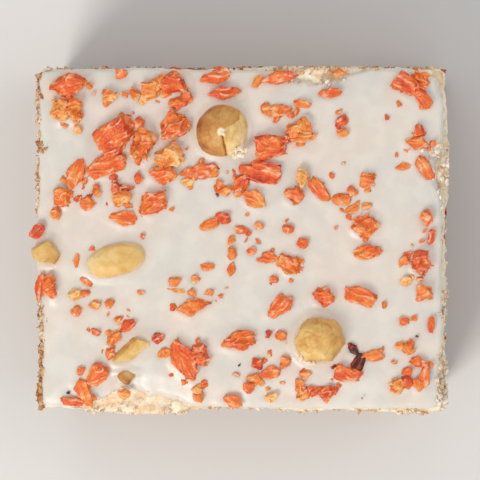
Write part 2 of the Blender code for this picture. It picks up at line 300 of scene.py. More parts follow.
# The larger carrot pieces: kind, across, back, length, width and turn, in mm and degrees, and tone from
# pale 0 over orange 0.5 and red 0.8 to dark skin 1.
CARROT_PIECES = (
    ("chunk", -30.8, 28.0, 6.4, 3.8, 20, 0.62),
    ("curl", -32.4, 23.6, 3.3, 4.2, 0, 0.22),
    ("curl", -29.6, 23.4, 3.2, 4.4, 10, 0.32),
    ("chunk", -15.8, 27.0, 3.6, 3.2, 0, 0.3),
    ("chunk", -11.5, 28.2, 4.8, 4.2, -20, 0.66),
    ("flake", -4.3, 29.4, 5.0, 2.4, 10, 0.6),
    ("chunk", -11.0, 24.6, 3.2, 2.4, 0, 0.42),
    ("curl", -11.9, 20.9, 5.6, 4.8, 30, 0.52),
    ("flake", -2.6, 26.6, 5.6, 2.4, 5, 0.7),
    ("chunk", -21.9, 18.9, 7.6, 5.8, 35, 0.62),
    ("curl", -17.2, 17.3, 4.6, 5.8, 0, 0.4),
    ("curl", -12.8, 15.4, 5.0, 4.4, 10, 0.22),
    ("chunk", -13.7, 11.8, 4.8, 3.4, 0, 0.5),
    ("flake", -24.0, 13.4, 7.2, 3.6, 15, 0.54),
    ("flake", -29.6, 12.0, 5.6, 3.0, 65, 0.56),
    ("chunk", -31.8, 7.8, 3.6, 3.4, 0, 0.4),
    ("chunk", -27.2, 6.8, 2.9, 2.8, 0, 0.46),
    ("flake", -20.8, 4.0, 5.0, 2.6, -5, 0.46),
    ("curl", -21.2, 7.8, 3.4, 2.8, 0, 0.24),
    ("chunk", -15.6, 6.8, 5.6, 4.4, 35, 0.66),
    ("flake", -6.4, 12.6, 5.4, 2.8, 10, 0.6),
    ("chunk", 6.2, 16.9, 6.2, 4.4, 5, 0.64),
    ("flake", 3.8, 12.6, 7.2, 4.0, -10, 0.68),
    ("curl", 10.8, 20.0, 4.4, 4.4, 0, 0.36),
    ("flake", 7.4, 23.4, 4.2, 2.2, 0, 0.4),
    ("flake", 11.4, 24.6, 3.0, 1.4, -10, 0.42),
    ("flake", 7.2, 29.4, 6.2, 2.3, 8, 0.66),
    ("chunk", 30.0, 27.8, 4.6, 3.6, -40, 0.66),
    ("flake", 33.0, 25.6, 3.8, 2.2, -50, 0.62),
    ("flake", 16.4, 26.6, 4.0, 1.7, 5, 0.5),
    ("chunk", 31.8, 17.8, 3.8, 2.6, 0, 0.46),
    ("flake", 33.4, 13.2, 4.4, 2.2, -55, 0.5),
    ("flake", 2.8, 7.6, 4.6, 3.0, -30, 0.44),
    ("curl", 22.8, 2.8, 4.9, 4.0, 0, 0.5),
    ("curl", 23.2, -1.9, 4.8, 2.7, 0, 0.46),
    ("chunk", 9.4, -3.9, 4.6, 4.0, -50, 0.46),
    ("chunk", 10.0, 8.2, 3.4, 3.2, 0, 0.56),
    ("flake", 14.4, 9.2, 4.8, 2.3, -55, 0.5),
    ("curl", 32.7, -3.7, 3.4, 4.2, 0, 0.7),
    ("chunk", 33.3, -9.2, 2.8, 3.0, 0, 0.5),
    ("chunk", -8.0, -11.8, 6.0, 3.2, 12, 0.44),
    ("chunk", 7.4, -11.6, 5.2, 3.2, 35, 0.56),
    ("chunk", 15.2, -10.0, 3.8, 3.6, 0, 0.6),
    ("flake", 21.8, -9.8, 5.6, 3.0, -20, 0.52),
    ("curl", 0.0, -18.0, 6.0, 3.6, 10, 0.6),
    ("flake", -10.0, -21.6, 7.6, 4.4, -65, 0.56),
    ("flake", -7.4, -20.4, 3.6, 1.8, -60, 0.66),
    ("chunk", -25.8, -24.2, 4.8, 3.4, 35, 0.5),
    ("flake", -28.3, -27.9, 5.4, 2.6, -70, 0.46),
    ("flake", -30.2, -29.4, 4.2, 1.4, -5, 0.6),
    ("chunk", -34.4, -8.4, 2.5, 4.2, 10, 0.56),
    ("chunk", 19.7, -24.0, 4.8, 2.8, -15, 0.6),
    ("flake", 21.4, -22.2, 4.0, 2.2, 65, 1.0),
    ("flake", 24.2, -20.6, 4.0, 2.0, 0, 0.4),
    ("flake", 33.6, -24.3, 4.6, 2.0, 75, 0.5),
    ("chunk", -20.4, -15.4, 3.4, 2.0, 35, 0.7),
    ("chunk", -22.8, -17.8, 3.0, 2.2, 45, 0.42),
    ("chunk", 23.2, 10.9, 3.0, 2.8, 0, 0.5),
    ("chunk", -14.6, -17.6, 2.4, 2.0, 20, 0.74),
)

# Smaller pieces, made for the looks alone, in the same terms.
SMALL_CARROTS = (
    ("chunk", -21.2, 30.0, 2.0, 1.7, 0, 0.55),
    ("curl", -23.1, 26.1, 3.0, 2.2, 10, 0.25),
    ("chunk", -17.4, 25.4, 2.0, 1.6, 30, 0.05),
    ("curl", -14.2, 28.8, 3.2, 2.6, 0, 0.3),
    ("chunk", -9.6, 25.6, 2.6, 2.2, 40, 0.5),
    ("flake", -3.1, 30.6, 2.6, 1.6, 0, 0.7),
    ("flake", 3.3, 28.8, 2.6, 1.4, 50, 0.45),
    ("chunk", 5.4, 23.6, 2.4, 1.8, 0, 0.2),
    ("chunk", 18.5, 21.7, 2.2, 2.0, 0, 0.6),
    ("chunk", 18.6, 19.4, 2.2, 1.7, 0, 0.28),
    ("curl", 32.6, 29.2, 3.4, 2.8, -30, 0.45),
    ("flake", 29.6, 13.5, 3.0, 1.3, 5, 0.36),
    ("curl", 11.5, 11.4, 2.4, 3.4, 0, 0.12),
    ("flake", 18.4, 7.5, 3.2, 1.9, -10, 0.44),
    ("flake", 20.3, 5.7, 2.6, 1.5, 20, 0.46),
    ("chunk", 33.7, 4.2, 2.2, 3.0, 0, 0.46),
    ("flake", 34.6, 0.8, 2.6, 1.2, 80, 0.6),
    ("curl", 30.0, -7.2, 2.2, 1.8, 0, 0.16),
    ("chunk", 29.8, -14.4, 1.8, 1.5, 0, 0.46),
    ("flake", 34.6, -14.9, 2.6, 1.2, 85, 0.62),
    ("chunk", 28.9, -18.7, 1.7, 1.5, 0, 0.36),
    ("curl", 28.4, -26.0, 2.6, 2.8, 0, 0.24),
    ("chunk", 30.3, -23.5, 2.0, 1.6, 20, 0.5),
    ("flake", 32.4, -21.8, 3.2, 1.6, -8, 0.46),
    ("chunk", 15.9, -27.2, 3.0, 2.4, 20, 0.62),
    ("curl", 12.0, -27.8, 3.2, 2.0, 10, 0.3),
    ("flake", 5.6, -23.8, 3.6, 2.2, 20, 0.5),
    ("chunk", 2.7, -25.0, 2.6, 2.2, 0, 0.46),
    ("chunk", 3.3, -22.2, 2.0, 2.4, 30, 0.66),
    ("chunk", 7.6, -17.1, 2.0, 1.8, 0, 0.5),
    ("chunk", 8.5, -21.9, 1.8, 2.2, 0, 0.4),
    ("chunk", 12.0, -23.9, 2.0, 1.9, 0, 0.5),
    ("flake", -1.1, -29.0, 3.4, 2.2, -20, 0.5),
    ("curl", 5.8, -28.3, 2.2, 1.8, 0, 0.1),
    ("flake", -5.7, -4.8, 2.4, 1.3, 0, 0.42),
    ("flake", -1.4, -5.1, 2.4, 1.4, 75, 0.5),
    ("flake", -10.3, -9.2, 5.2, 0.9, -8, 0.2),
    ("chunk", -7.8, -7.0, 1.6, 1.5, 0, 0.2),
    ("chunk", 2.2, -1.8, 1.7, 1.5, 0, 0.5),
    ("flake", 5.6, -3.1, 3.0, 2.0, -15, 0.52),
    ("chunk", 11.5, -0.4, 2.2, 2.0, 20, 0.56),
    ("chunk", 8.9, 2.2, 1.8, 1.6, 0, 0.5),
    ("flake", 0.5, 1.9, 2.8, 1.5, -15, 0.46),
    ("flake", -5.4, 2.9, 3.2, 1.8, 15, 0.4),
    ("chunk", -2.8, 4.2, 2.8, 2.2, -30, 0.7),
    ("chunk", -2.6, 9.0, 2.6, 2.0, 20, 0.4),
    ("chunk", 0.2, 10.4, 3.6, 3.4, 40, 0.62),
    ("flake", -9.0, 12.2, 3.4, 2.0, 0, 0.4),
    ("curl", -9.4, 10.5, 2.4, 1.4, 0, -0.1),
    ("chunk", -18.1, 11.3, 1.6, 2.2, 0, 0.55),
    ("chunk", -22.4, 9.8, 1.6, 2.4, 0, 0.6),
    ("flake", -20.6, 9.4, 3.2, 1.5, 0, 0.75),
    ("curl", -25.7, 9.0, 1.6, 2.2, 0, 0.3),
    ("chunk", -33.2, 4.8, 1.8, 2.0, 0, 0.36),
    ("flake", -29.5, -3.7, 2.4, 1.2, 85, 0.42),
    ("flake", -27.7, -7.5, 2.4, 1.1, -40, 0.5),
    ("chunk", -26.6, -1.6, 1.5, 1.1, 0, 0.62),
    ("curl", -29.8, -9.9, 2.3, 2.0, 0, 0.08),
    ("chunk", -26.2, -11.8, 2.2, 1.6, 0, 0.28),
    ("flake", -36.1, -8.6, 4.8, 1.8, 80, 0.66),
    ("flake", -36.6, 1.6, 3.0, 2.2, 30, 0.76),
    ("curl", -13.3, -20.4, 3.0, 2.0, 20, 0.34),
    ("chunk", -23.2, -20.4, 2.0, 2.8, -20, 0.42),
    ("chunk", -20.9, -27.9, 2.2, 1.9, 0, 0.24),
    ("chunk", -7.6, -26.9, 2.0, 1.8, 0, 0.3),
    ("curl", -7.0, -20.8, 3.2, 4.0, 20, 0.6),
    ("chunk", -28.6, -23.8, 1.6, 1.6, 0, 0.66),
    ("chunk", 18.2, 30.2, 2.2, 1.7, 0, 0.4),
    ("flake", 20.6, -19.4, 2.6, 1.5, -50, 1.0),
    ("chunk", 17.0, -22.5, 1.3, 1.1, 0, 1.0),
)

# Pinches of small carrot grains: across, back and reach in mm, and how many fall there.
CARROT_PINCHES = (
    (-29.0, 26.5, 4.5, 3),
    (-19.0, 25.5, 6.0, 4),
    (-16.5, 13.5, 7.5, 6),
    (-28.0, 9.0, 5.0, 3),
    (-5.0, 9.5, 5.5, 4),
    (7.5, 21.0, 5.5, 3),
    (18.0, 8.0, 5.5, 4),
    (18.5, 20.5, 3.0, 2),
    (31.0, 18.5, 3.0, 2),
    (4.5, -0.5, 7.0, 5),
    (32.0, -1.0, 3.5, 3),
    (-28.0, -8.5, 6.5, 4),
    (-7.5, -7.5, 4.5, 3),
    (-23.0, -18.5, 4.5, 4),
    (4.5, -23.5, 5.0, 5),
    (13.0, -26.5, 2.5, 3),
    (29.5, -23.0, 4.5, 5),
    (28.0, -14.5, 4.0, 2),
    (-7.0, -26.0, 2.5, 2),
)
GRAIN_LEAST = 1.1 * MM
GRAIN_MOST = 2.4 * MM
SEED_OF_GRAINS = 11
TOPPING_MARGIN = 2.0 * MM
NUT_MARGIN = 0.4 * MM
KIND_HEIGHT = {"chunk": 0.62, "curl": 0.7, "flake": 0.5, "grain": 0.7}
SUNK_SHARE = 0.3
GRAIN_TONES = (0.3, 0.7)

# Still finer grains: across, back and reach in mm, and how many fall there.
FINE_PINCHES = (
    (-29.0, 24.5, 5.5, 7),
    (-19.0, 22.0, 7.0, 9),
    (-16.0, 12.5, 8.0, 14),
    (-29.0, 8.5, 6.0, 8),
    (-3.0, 11.0, 6.0, 8),
    (7.0, 20.0, 6.5, 8),
    (17.5, 7.5, 6.0, 6),
    (30.5, 20.0, 6.0, 7),
    (3.0, 0.0, 7.0, 6),
    (32.0, -2.0, 5.0, 8),
    (-24.5, -9.0, 8.0, 7),
    (-5.0, -9.0, 5.0, 4),
    (-22.5, -19.5, 6.5, 12),
    (-9.5, -22.0, 5.0, 7),
    (5.0, -22.5, 6.0, 9),
    (14.0, -25.0, 5.0, 7),
    (29.5, -23.5, 6.0, 11),
    (-30.0, -28.0, 4.0, 5),
    (0.0, 0.0, 32.0, 34),
)
FINE_LEAST = 0.5 * MM
FINE_MOST = 1.7 * MM
SEED_OF_FINE_GRAINS = 27

# The carrot's surface: wrinkles that run along a piece, by length, spacing and height, finer fibres between
# them, and how far its pieces are out of round. Then how its prototypes are made.
WRINKLE_LENGTH = 4.2 * MM
WRINKLE_SPACING = 1.05 * MM
WRINKLE_HEIGHT = 0.36 * MM
WRINKLE_BEND = {"chunk": 0.6 * MM, "curl": 0.9 * MM, "flake": 0.22 * MM, "grain": 0.5 * MM}
WRINKLE_WIDTH = 0.26
FIBRE_SPACING = 0.55 * MM
FIBRE_HEIGHT = 0.15 * MM
LUMP_SHARE = 0.17
LUMP_LENGTH = 0.55
LUMP_MIDDLE = 0.1
WRINKLE_SHARE = 0.16
CREST_MIDDLE = 0.4
BEND_SIZE = 2 * MM
# How much painted highlight the crest of a wrinkle and of a fibre gets; between crests the carrot gets
# painted crease shade.
WRINKLE_PAINTED_LIGHT = 0.65
FIBRE_PAINTED_LIGHT = 0.45
CARROT_CELL = 0.14 * MM
GRAIN_CELL = 0.14
CARROT_VARIANTS = 6
CRUMB_VARIANTS = 12
CRUMB_KEPT = 0.65
CARROT_FULLNESS = 1.12
CURL_THICKNESS = 0.6
CURL_FOLD = 0.22
CURL_FOLDS = 3.4
SEED_OF_VARIANTS = 8

# Crumbs clumped along the cut edges: start and end across and back, heights, how many clumps, how many
# crumbs in each, sizes in mm, and tones.
CRUMB_EDGES = (
    ((-38.0, -9.0), (-38.2, -30.3), (27.0, 33.0), 46, 14, (0.35, 1.6), (0.4, 0.8)),
    ((-37.8, -9.0), (-37.8, -29.5), (33.0, 35.3), 18, 9, (0.3, 1.4), (0.15, 0.65)),
    ((-38.0, 1.5), (-38.0, 30.3), (28.5, 34.4), 34, 10, (0.3, 1.4), (0.05, 0.65)),
    ((38.5, 17.0), (38.5, 8.5), (31.0, 36.0), 14, 11, (0.3, 1.4), (0.0, 0.15)),
    ((33.5, 17.5), (37.2, 14.5), (36.5, 37.0), 5, 9, (0.3, 1.5), (0.0, 0.1)),
    ((38.5, -20.0), (38.5, -29.5), (31.0, 36.0), 14, 10, (0.3, 1.3), (0.0, 0.3)),
    ((38.5, 7.0), (38.5, -19.0), (29.0, 34.5), 14, 8, (0.3, 1.1), (0.0, 0.3)),
    ((6.0, 30.5), (18.0, 30.8), (33.5, 37.0), 9, 8, (0.3, 1.2), (0.1, 0.4)),
    ((4.5, 32.5), (19.0, 32.5), (29.0, 34.0), 12, 8, (0.4, 1.5), (0.1, 0.6)),
    ((-25.5, -30.5), (-11.5, -30.5), (33.0, 36.5), 6, 7, (0.3, 0.9), (0.05, 0.25)),
    ((-27.5, -32.5), (-9.5, -32.5), (29.0, 33.5), 12, 8, (0.3, 1.1), (0.0, 0.25)),
    ((20.0, 32.5), (36.0, 32.5), (28.5, 33.0), 10, 7, (0.4, 1.4), (0.1, 0.6)),
    ((-36.0, 32.5), (4.0, 32.5), (28.5, 33.0), 20, 7, (0.3, 1.2), (0.1, 0.7)),
    ((-9.0, -32.5), (36.0, -32.5), (28.5, 33.0), 22, 7, (0.3, 1.1), (0.05, 0.5)),
)
CLUMP_REACH = 1.1
TONE_SPREAD = 0.12
CRUMB_LUMP = 0.6
CRUMBLE_LUMP = 0.7
BIT_LUMP = 0.5
KNOCK_SIZE = 2.6
SEED_OF_CRUMBS = 4

# Pale crumble on the back kernel's broken rim and tip, and on the front kernel: across, back, height over
# the glaze and size in mm, and tone.
NUT_CRUMBLE = (
    (0.3, 15.6, 2.1, 1.5, 0.0),
    (-0.7, 15.2, 1.9, 1.3, 0.08),
    (1.2, 16.3, 2.0, 1.3, 0.12),
    (0.4, 16.8, 2.9, 1.2, 0.05),
    (-0.4, 16.2, 2.8, 1.0, 0.02),
    (-2.9, 20.0, 4.2, 1.0, 0.0),
    (-2.4, 19.3, 4.15, 0.8, 0.05),
    (15.2, -20.3, 3.0, 1.4, 0.08),
    (14.3, -20.7, 2.7, 1.0, 0.14),
    (11.3, -21.0, 1.4, 1.2, 0.02),
    (12.6, -21.7, 1.0, 0.8, 0.03),
    (13.5, -22.0, 0.8, 0.9, 0.06),
    (16.2, -21.3, 1.2, 0.7, 0.05),
)
CRUMBLE_SEED = 60

# Specks on the glaze: across, back and size in mm, and tone.
SPECKS = (
    (-31.1, -27.7, 0.7, 1.0),
    (-6.8, -27.6, 0.5, 0.9),
    (32.1, -17.1, 0.6, 0.9),
    (0.1, -22.5, 0.6, 0.85),
    (-3.9, 8.3, 0.8, 0.8),
    (18.7, 14.0, 0.9, 0.35),
    (22.2, -28.4, 0.5, 0.7),
)
SPECK_LIFT = 0.05 * MM
SPECK_SEED = 40

# Bits baked into the sponge: how many, lengths and thicknesses in mm, and tones. They keep clear of a
# wall's ends, its foot and its top.
SHRED_COUNT = 120
SHRED_SIZES = ((1.4, 4.8), (0.9, 1.9))
SHRED_TONES = (0.36, 0.76)
NUT_BIT_COUNT = 26
NUT_BIT_SIZES = ((1.5, 3.4), (1.2, 2.8))
NUT_BIT_TONES = (0.58, 0.86)
SEED_OF_SHREDS = 3
SEED_OF_NUT_BITS = 5
WALL_SHARE = 0.94
WALL_FOOT = 1.5 * MM
WALL_TOP = 2.5 * MM
BAKED_IN_DEPTHS = (0.4, 0.62)
BAKED_IN_PORE_SHARE = 0.5
MOST_TILT = 1.2

# The plain kernels: name, seed, depth of their knobs in metres, tone, how far it spreads, and how far up
# from the glaze icing coats them.
PLAIN_KERNELS = (
    ("hazelnut_front", 2.0, 0.4 * MM, 0.47, 0.16, 0.9 * MM),
    ("hazelnut_blanched", 3.0, 0.12 * MM, 0.37, 0.08, 1.1 * MM),
    ("hazelnut_edge", 4.0, 0.16 * MM, 0.48, 0.1, 0.4 * MM),
    ("hazelnut_broken", 5.0, 0.26 * MM, 0.44, 0.14, 0.4 * MM),
    ("hazelnut_chip", 6.0, 0.22 * MM, 0.6, 0.2, 0.3 * MM),
)
KNOB_SIZE = 3.3 * MM
GROOVE_SIZE = 2.2 * MM
GROOVE_WIDTH = 0.09
GROOVE_SHARE = 0.4
KNOB_MIDDLE = 0.6
COAT_PATCH = 1.3 * MM

# The back kernel: its relief, and the break in its skin, which runs from the tip to the front rim and from
# the tip to the right rim.
SKIN_SEED = 1.0
SKIN_DEPTH = 0.16 * MM
SKIN_COAT = 0.3 * MM
BREAK_LEAN = 0.14
BREAK_START = 0.2 * MM
BREAK_SWING = 2.9 * MM
BREAK_RISE = 2.4 * MM
BREAK_DEPTH = 0.4 * MM
BREAK_WANDER = 0.25 * MM
BREAK_WANDER_SIZE = 1.1 * MM
BREAK_SOFTNESS = 0.3 * MM
FLESH_LUMP = 0.25 * MM
FLESH_LUMP_SIZE = 1.3 * MM
CRACK_WIDTH = 0.22 * MM
CRACK_DEPTH = 0.35 * MM
CRACK_AT_BACK = 0.3
TIP_REACH = 0.85 * MM
TIP_HEIGHT = 0.15 * MM
SKIN_TONE = 0.62
FLESH_TONE = 0.36
CRACK_TONE = 0.3

# Colours.
GLAZE_WARM = srgb(227, 214, 200)
GLAZE_COOL = srgb(221, 214, 203)
GLAZE_BRIGHT = srgb(237, 229, 216)
# The tint where the glaze climbs round its toppings.
GLAZE_ROUND_TOPPINGS = srgb(228, 188, 156)
CREAM_PALE = srgb(254, 238, 212)
CREAM_DEEP = srgb(240, 203, 156)
CREAM_STAIN = srgb(222, 170, 122)
CRUMB_BROWN = srgb(166, 103, 54)
CRUMB_GOLD = srgb(194, 130, 70)
CRUMB_LIGHT = srgb(222, 170, 112)
CRUMB_DEEP = srgb(116, 64, 30)
# The colour of the painted shade in the sponge's pores and holes.
CRUMB_PIT_SHADE = srgb(94, 47, 21)
CRUMB_FLECK = srgb(216, 116, 50)
CRUMB_CRUST = srgb(118, 68, 34)
CARROT_RAMP = (
    (0.0, srgb(252, 204, 130)),
    (0.25, srgb(244, 154, 66)),
    (0.5, srgb(240, 120, 42)),
    (0.7, srgb(233, 96, 40)),
    (0.85, srgb(200, 58, 30)),
    (1.0, srgb(70, 20, 18)),
)
# Painted shade for the carrot's creases.
CARROT_CREASE_SHADE = srgb(214, 76, 24)
# Painted highlight for the carrot's ribs.
CARROT_PAINTED_HIGHLIGHT = srgb(255, 206, 164)
NUT_RAMP = (
    (0.0, srgb(252, 236, 212)),
    (0.2, srgb(246, 216, 158)),
    (0.4, srgb(232, 190, 114)),
    (0.55, srgb(218, 166, 88)),
    (0.7, srgb(200, 134, 66)),
    (0.86, srgb(140, 80, 40)),
    (1.0, srgb(78, 38, 22)),
)
CRUMB_RAMP = (
    (0.0, srgb(254, 240, 222)),
    (0.3, srgb(234, 200, 158)),
    (0.6, srgb(200, 136, 74)),
    (0.8, srgb(142, 84, 42)),
    (1.0, srgb(66, 34, 20)),
)

# How light sinks into each material: weight, radii for red, green and blue, and scale.
SPONGE_DEPTH = (0.12, (1.0, 0.45, 0.2), 1.5 * MM)
CREAM_DEPTH = (0.3, (1.0, 0.7, 0.4), 1.8 * MM)
GLAZE_DEPTH = (0.45, (1.0, 0.8, 0.6), 2.2 * MM)
CARROT_DEPTH = (0.18, (1.0, 0.45, 0.2), 0.9 * MM)
NUT_DEPTH = (0.15, (1.0, 0.6, 0.25), 1.2 * MM)

# The studio. Each softbox has a name, place, size, power and colour.
FLOOR_SIZE = 4.0
FLOOR_COLOUR = srgb(226, 223, 218)
SKY_COLOUR = srgb(236, 240, 246)
SKY_STRENGTH = 0.5
SOFTBOXES = (
    ("key", (-0.28, -0.42, 0.5), 0.3, 3.0, (1.0, 0.97, 0.93)),
    ("fill", (0.45, 0.1, 0.45), 0.5, 1.0, (0.95, 0.97, 1.0)),
    ("back", (-0.1, 0.5, 0.4), 0.4, 0.6, (1.0, 1.0, 1.0)),
)
CAMERA_PLACE = (0.0395, 0.0333, 0.6)
CAMERA_AIM = (0.0, 0.0, 0.033)
CAMERA_LENS = 236
FLOOR_ROUGHNESS = 0.9


def apply_modifier(piece, kind, **settings):
    """Adds one modifier with these settings and applies it."""
    bpy.context.view_layer.objects.active = piece
    modifier = piece.modifiers.new(kind.lower(), kind)
    for name, value in settings.items():
        setattr(modifier, name, value)
    bpy.ops.object.modifier_apply(modifier=modifier.name)


def added_piece(name):
    """Names the primitive just added and puts its place and size in its mesh."""
    piece = bpy.context.object
    piece.name = name
    bpy.ops.object.transform_apply(location=True, rotation=True, scale=True)
    return piece


def select_edges(piece, wanted):
    """In edit mode, selects the edges whose two ends satisfy wanted."""
    bpy.ops.mesh.select_mode(type="EDGE")
    bpy.ops.mesh.select_all(action="DESELECT")
    form = bmesh.from_edit_mesh(piece.data)
    for edge in form.edges:
        if wanted(edge.verts[0].co, edge.verts[1].co):
            edge.select_set(True)
    bmesh.update_edit_mesh(piece.data)


def select_level_faces(piece):
    """In edit mode, selects the faces that look straight up or down."""
    bpy.ops.mesh.select_mode(type="FACE")
    bpy.ops.mesh.select_all(action="DESELECT")
    form = bmesh.from_edit_mesh(piece.data)
    for face in form.faces:
        if abs(face.normal.z) > 0.99:
            face.select_set(True)
    bmesh.update_edit_mesh(piece.data)


def is_upright(start, end):
    return abs(start.z - end.z) > 10 * max(abs(start.x - end.x), abs(start.y - end.y))


def is_level(start, end):
    return abs(start.z - end.z) < LEVEL_TOLERANCE


def points_of(piece):
    """The piece's points as an array, one row a point."""
    found = np.empty(len(piece.data.vertices) * 3)
    piece.data.vertices.foreach_get("co", found)
    return found.reshape(-1, 3)


def set_points(piece, points):
    piece.data.vertices.foreach_set("co", np.asarray(points).ravel())
    piece.data.update()


def give_values(piece, name, values):
    """Stores one number a point on the mesh, for the material to read."""
    layer = piece.data.attributes.new(name, "FLOAT", "POINT")
    layer.data.foreach_set("value", np.asarray(values, dtype=np.float32))


def kept_in_box(points):
    """The points, held inside the solids' box."""
    low, high = (np.array(corner) for corner in frame_box)
    return np.clip(points, low + BOX_MARGIN, high - BOX_MARGIN)


def edge_frame(x, y, half_x, half_y):
    """How far inside the slice's outline a point lies, and the way out, which turns slowly near a corner."""
    flat_x, flat_y = half_x - CUT_CORNER, half_y - CUT_CORNER
    inside = min(half_x - abs(x), half_y - abs(y))
    if abs(x) > flat_x and abs(y) > flat_y:
        inside = CUT_CORNER - math.hypot(abs(x) - flat_x, abs(y) - flat_y)
    past = Vector((max(0.0, abs(x) - half_x + CORNER_TURN), max(0.0, abs(y) - half_y + CORNER_TURN), 0))
    if past.length == 0:
        return inside, past
    past = past.normalized()
    return inside, Vector((math.copysign(past.x, x), math.copysign(past.y, y), 0))


def swell_at(point, swells):
    """How far a layer's edge swells out, or its top rises in mounds, at this point."""
    total = 0.0
    for across, back, reach, out in swells:
        away = (Vector((point.x, point.y)) - Vector((across, back)) * MM).length
        total += out * MM * math.exp(-((away / (reach * MM)) ** 2))
    return total


def edge_wave(point, seed):
    """A gentle unevenness of a layer's edge."""
    return EDGE_WAVE * noise.noise(point / EDGE_WAVE_SIZE + Vector((seed, 0, 0)))


def fade(distance, reach):
    """1 at no distance, falling smoothly to 0 at reach."""
    share = min(1.0, max(0.0, 1 - distance / reach))
    return share * share * (3 - 2 * share)


def fractal(place, octaves):
    """Noise whose octaves each have half the size and half the height of the one before."""
    return noise.fractal(place, 1.0, 2.0, octaves)


def rounded_block(name, inset, base, top, rim):
    """A block with the slice's footprint and round upright corners; its top rim is round if rim isn't 0."""
    bpy.ops.mesh.primitive_cube_add(
        size=1,
        location=(0, 0, (base + top) / 2),
        scale=(SLICE_LENGTH - 2 * inset, SLICE_WIDTH - 2 * inset, top - base),
    )
    piece = added_piece(name)
    bpy.ops.object.mode_set(mode="EDIT")
    select_edges(piece, is_upright)
    bpy.ops.mesh.bevel(offset=CUT_CORNER, segments=5)
    if rim:
        select_edges(piece, lambda start, end: is_level(start, end) and start.z > (base + top) / 2)
        bpy.ops.mesh.bevel(offset=rim, segments=4)
    bpy.ops.object.mode_set(mode="OBJECT")
    return piece


def crag_depth(point):
    """How deep the crumb's broad relief lies behind the knife's cut."""
    broad = fractal(point / CRAG_SIZE, 2)
    near = noise.voronoi(point / CRUMB_SIZE)[0]
    crease = max(0.0, 1 - (near[1] - near[0]) / CREASE_WIDTH)
    return CRAG_DEPTH * min(1.0, max(0.0, 0.35 - 0.5 * broad)) + CREASE_DEPTH * crease


def pore_depth(point):
    """How deep a pore is here: some cells of each size hold one, wider than it is tall and out of round."""
    deepest = 0.0
    place = point + noise.noise_vector(point / PORE_WARP_SIZE) * PORE_WARP
    place.z *= PORE_FLATNESS
    for size, depth, share in PORES:
        for away, centre in zip(*noise.voronoi(place / size)):
            chance = 0.5 + 0.5 * noise.cell(centre * 9)
            if chance < share:
                reach = 0.24 + 0.34 * chance / share
                bowl = max(0.0, 1 - (away / reach) ** 2)
                deepest = max(deepest, depth * math.sqrt(bowl))
    return deepest


def clump_depth(point):
    """How far the surface falls back between clumps of crumb, large and small."""
    depth = 0.0
    for size, deepest in CLUMPS:
        place = point / size
        near = noise.voronoi(place + CLUMP_WARP * noise.noise_vector(place))[0]
        depth += deepest * (1 - min(1.0, (near[1] - near[0]) / CLUMP_CREASE))
    return depth


def build_sponge(material):
    """The sponge: a block whose four cut faces are fine meshes, pushed in by crags, pores and grain."""
    piece = rounded_block("sponge_crumb", SPONGE_INSET, 0, SPONGE_HEIGHT, 0)
    bpy.ops.object.mode_set(mode="EDIT")
    select_level_faces(piece)
    bpy.ops.mesh.delete(type="FACE")
    for _ in range(2):
        select_edges(piece, is_upright)
        bpy.ops.mesh.subdivide(number_cuts=SPONGE_ROWS_CUT)
    for _ in range(2):
        select_edges(piece, lambda start, end: is_level(start, end) and (start - end).length > 1 * MM)
        bpy.ops.mesh.subdivide(number_cuts=SPONGE_COLUMNS_CUT)
    select_edges(piece, lambda start, end: is_level(start, end) and start.z < LEVEL_TOLERANCE)
    bpy.ops.mesh.edge_face_add()
    select_edges(piece, lambda start, end: is_level(start, end) and start.z > SPONGE_HEIGHT - LEVEL_TOLERANCE)
    bpy.ops.mesh.edge_face_add()
    bpy.ops.object.mode_set(mode="OBJECT")
    half_x, half_y = SLICE_LENGTH / 2 - SPONGE_INSET, SLICE_WIDTH / 2 - SPONGE_INSET
    points, painted_shades = [], []
    for vert in piece.data.vertices:
        out = edge_frame(vert.co.x, vert.co.y, half_x, half_y)[1]
        pore, clump = pore_depth(vert.co), clump_depth(vert.co)
        grain = GRAIN_DEPTH * (0.5 - 0.5 * fractal(vert.co / GRAIN_SIZE, 3))
        points.append(vert.co - out * (CRAG_SHARE * crag_depth(vert.co) + pore + clump + grain))
        # Painted shade: the deeper a pore, clump crease or grain hollow, the darker its colour.
        painted_shade = PORE_PAINTED_SHADE * pore + GRAIN_PAINTED_SHADE * grain + CLUMP_PAINTED_SHADE * clump
        painted_shades.append(min(1.0, painted_shade / MM))
    set_points(piece, points)
    give_values(piece, "pit_shade", painted_shades)
    return finished(piece, material, "sponge")


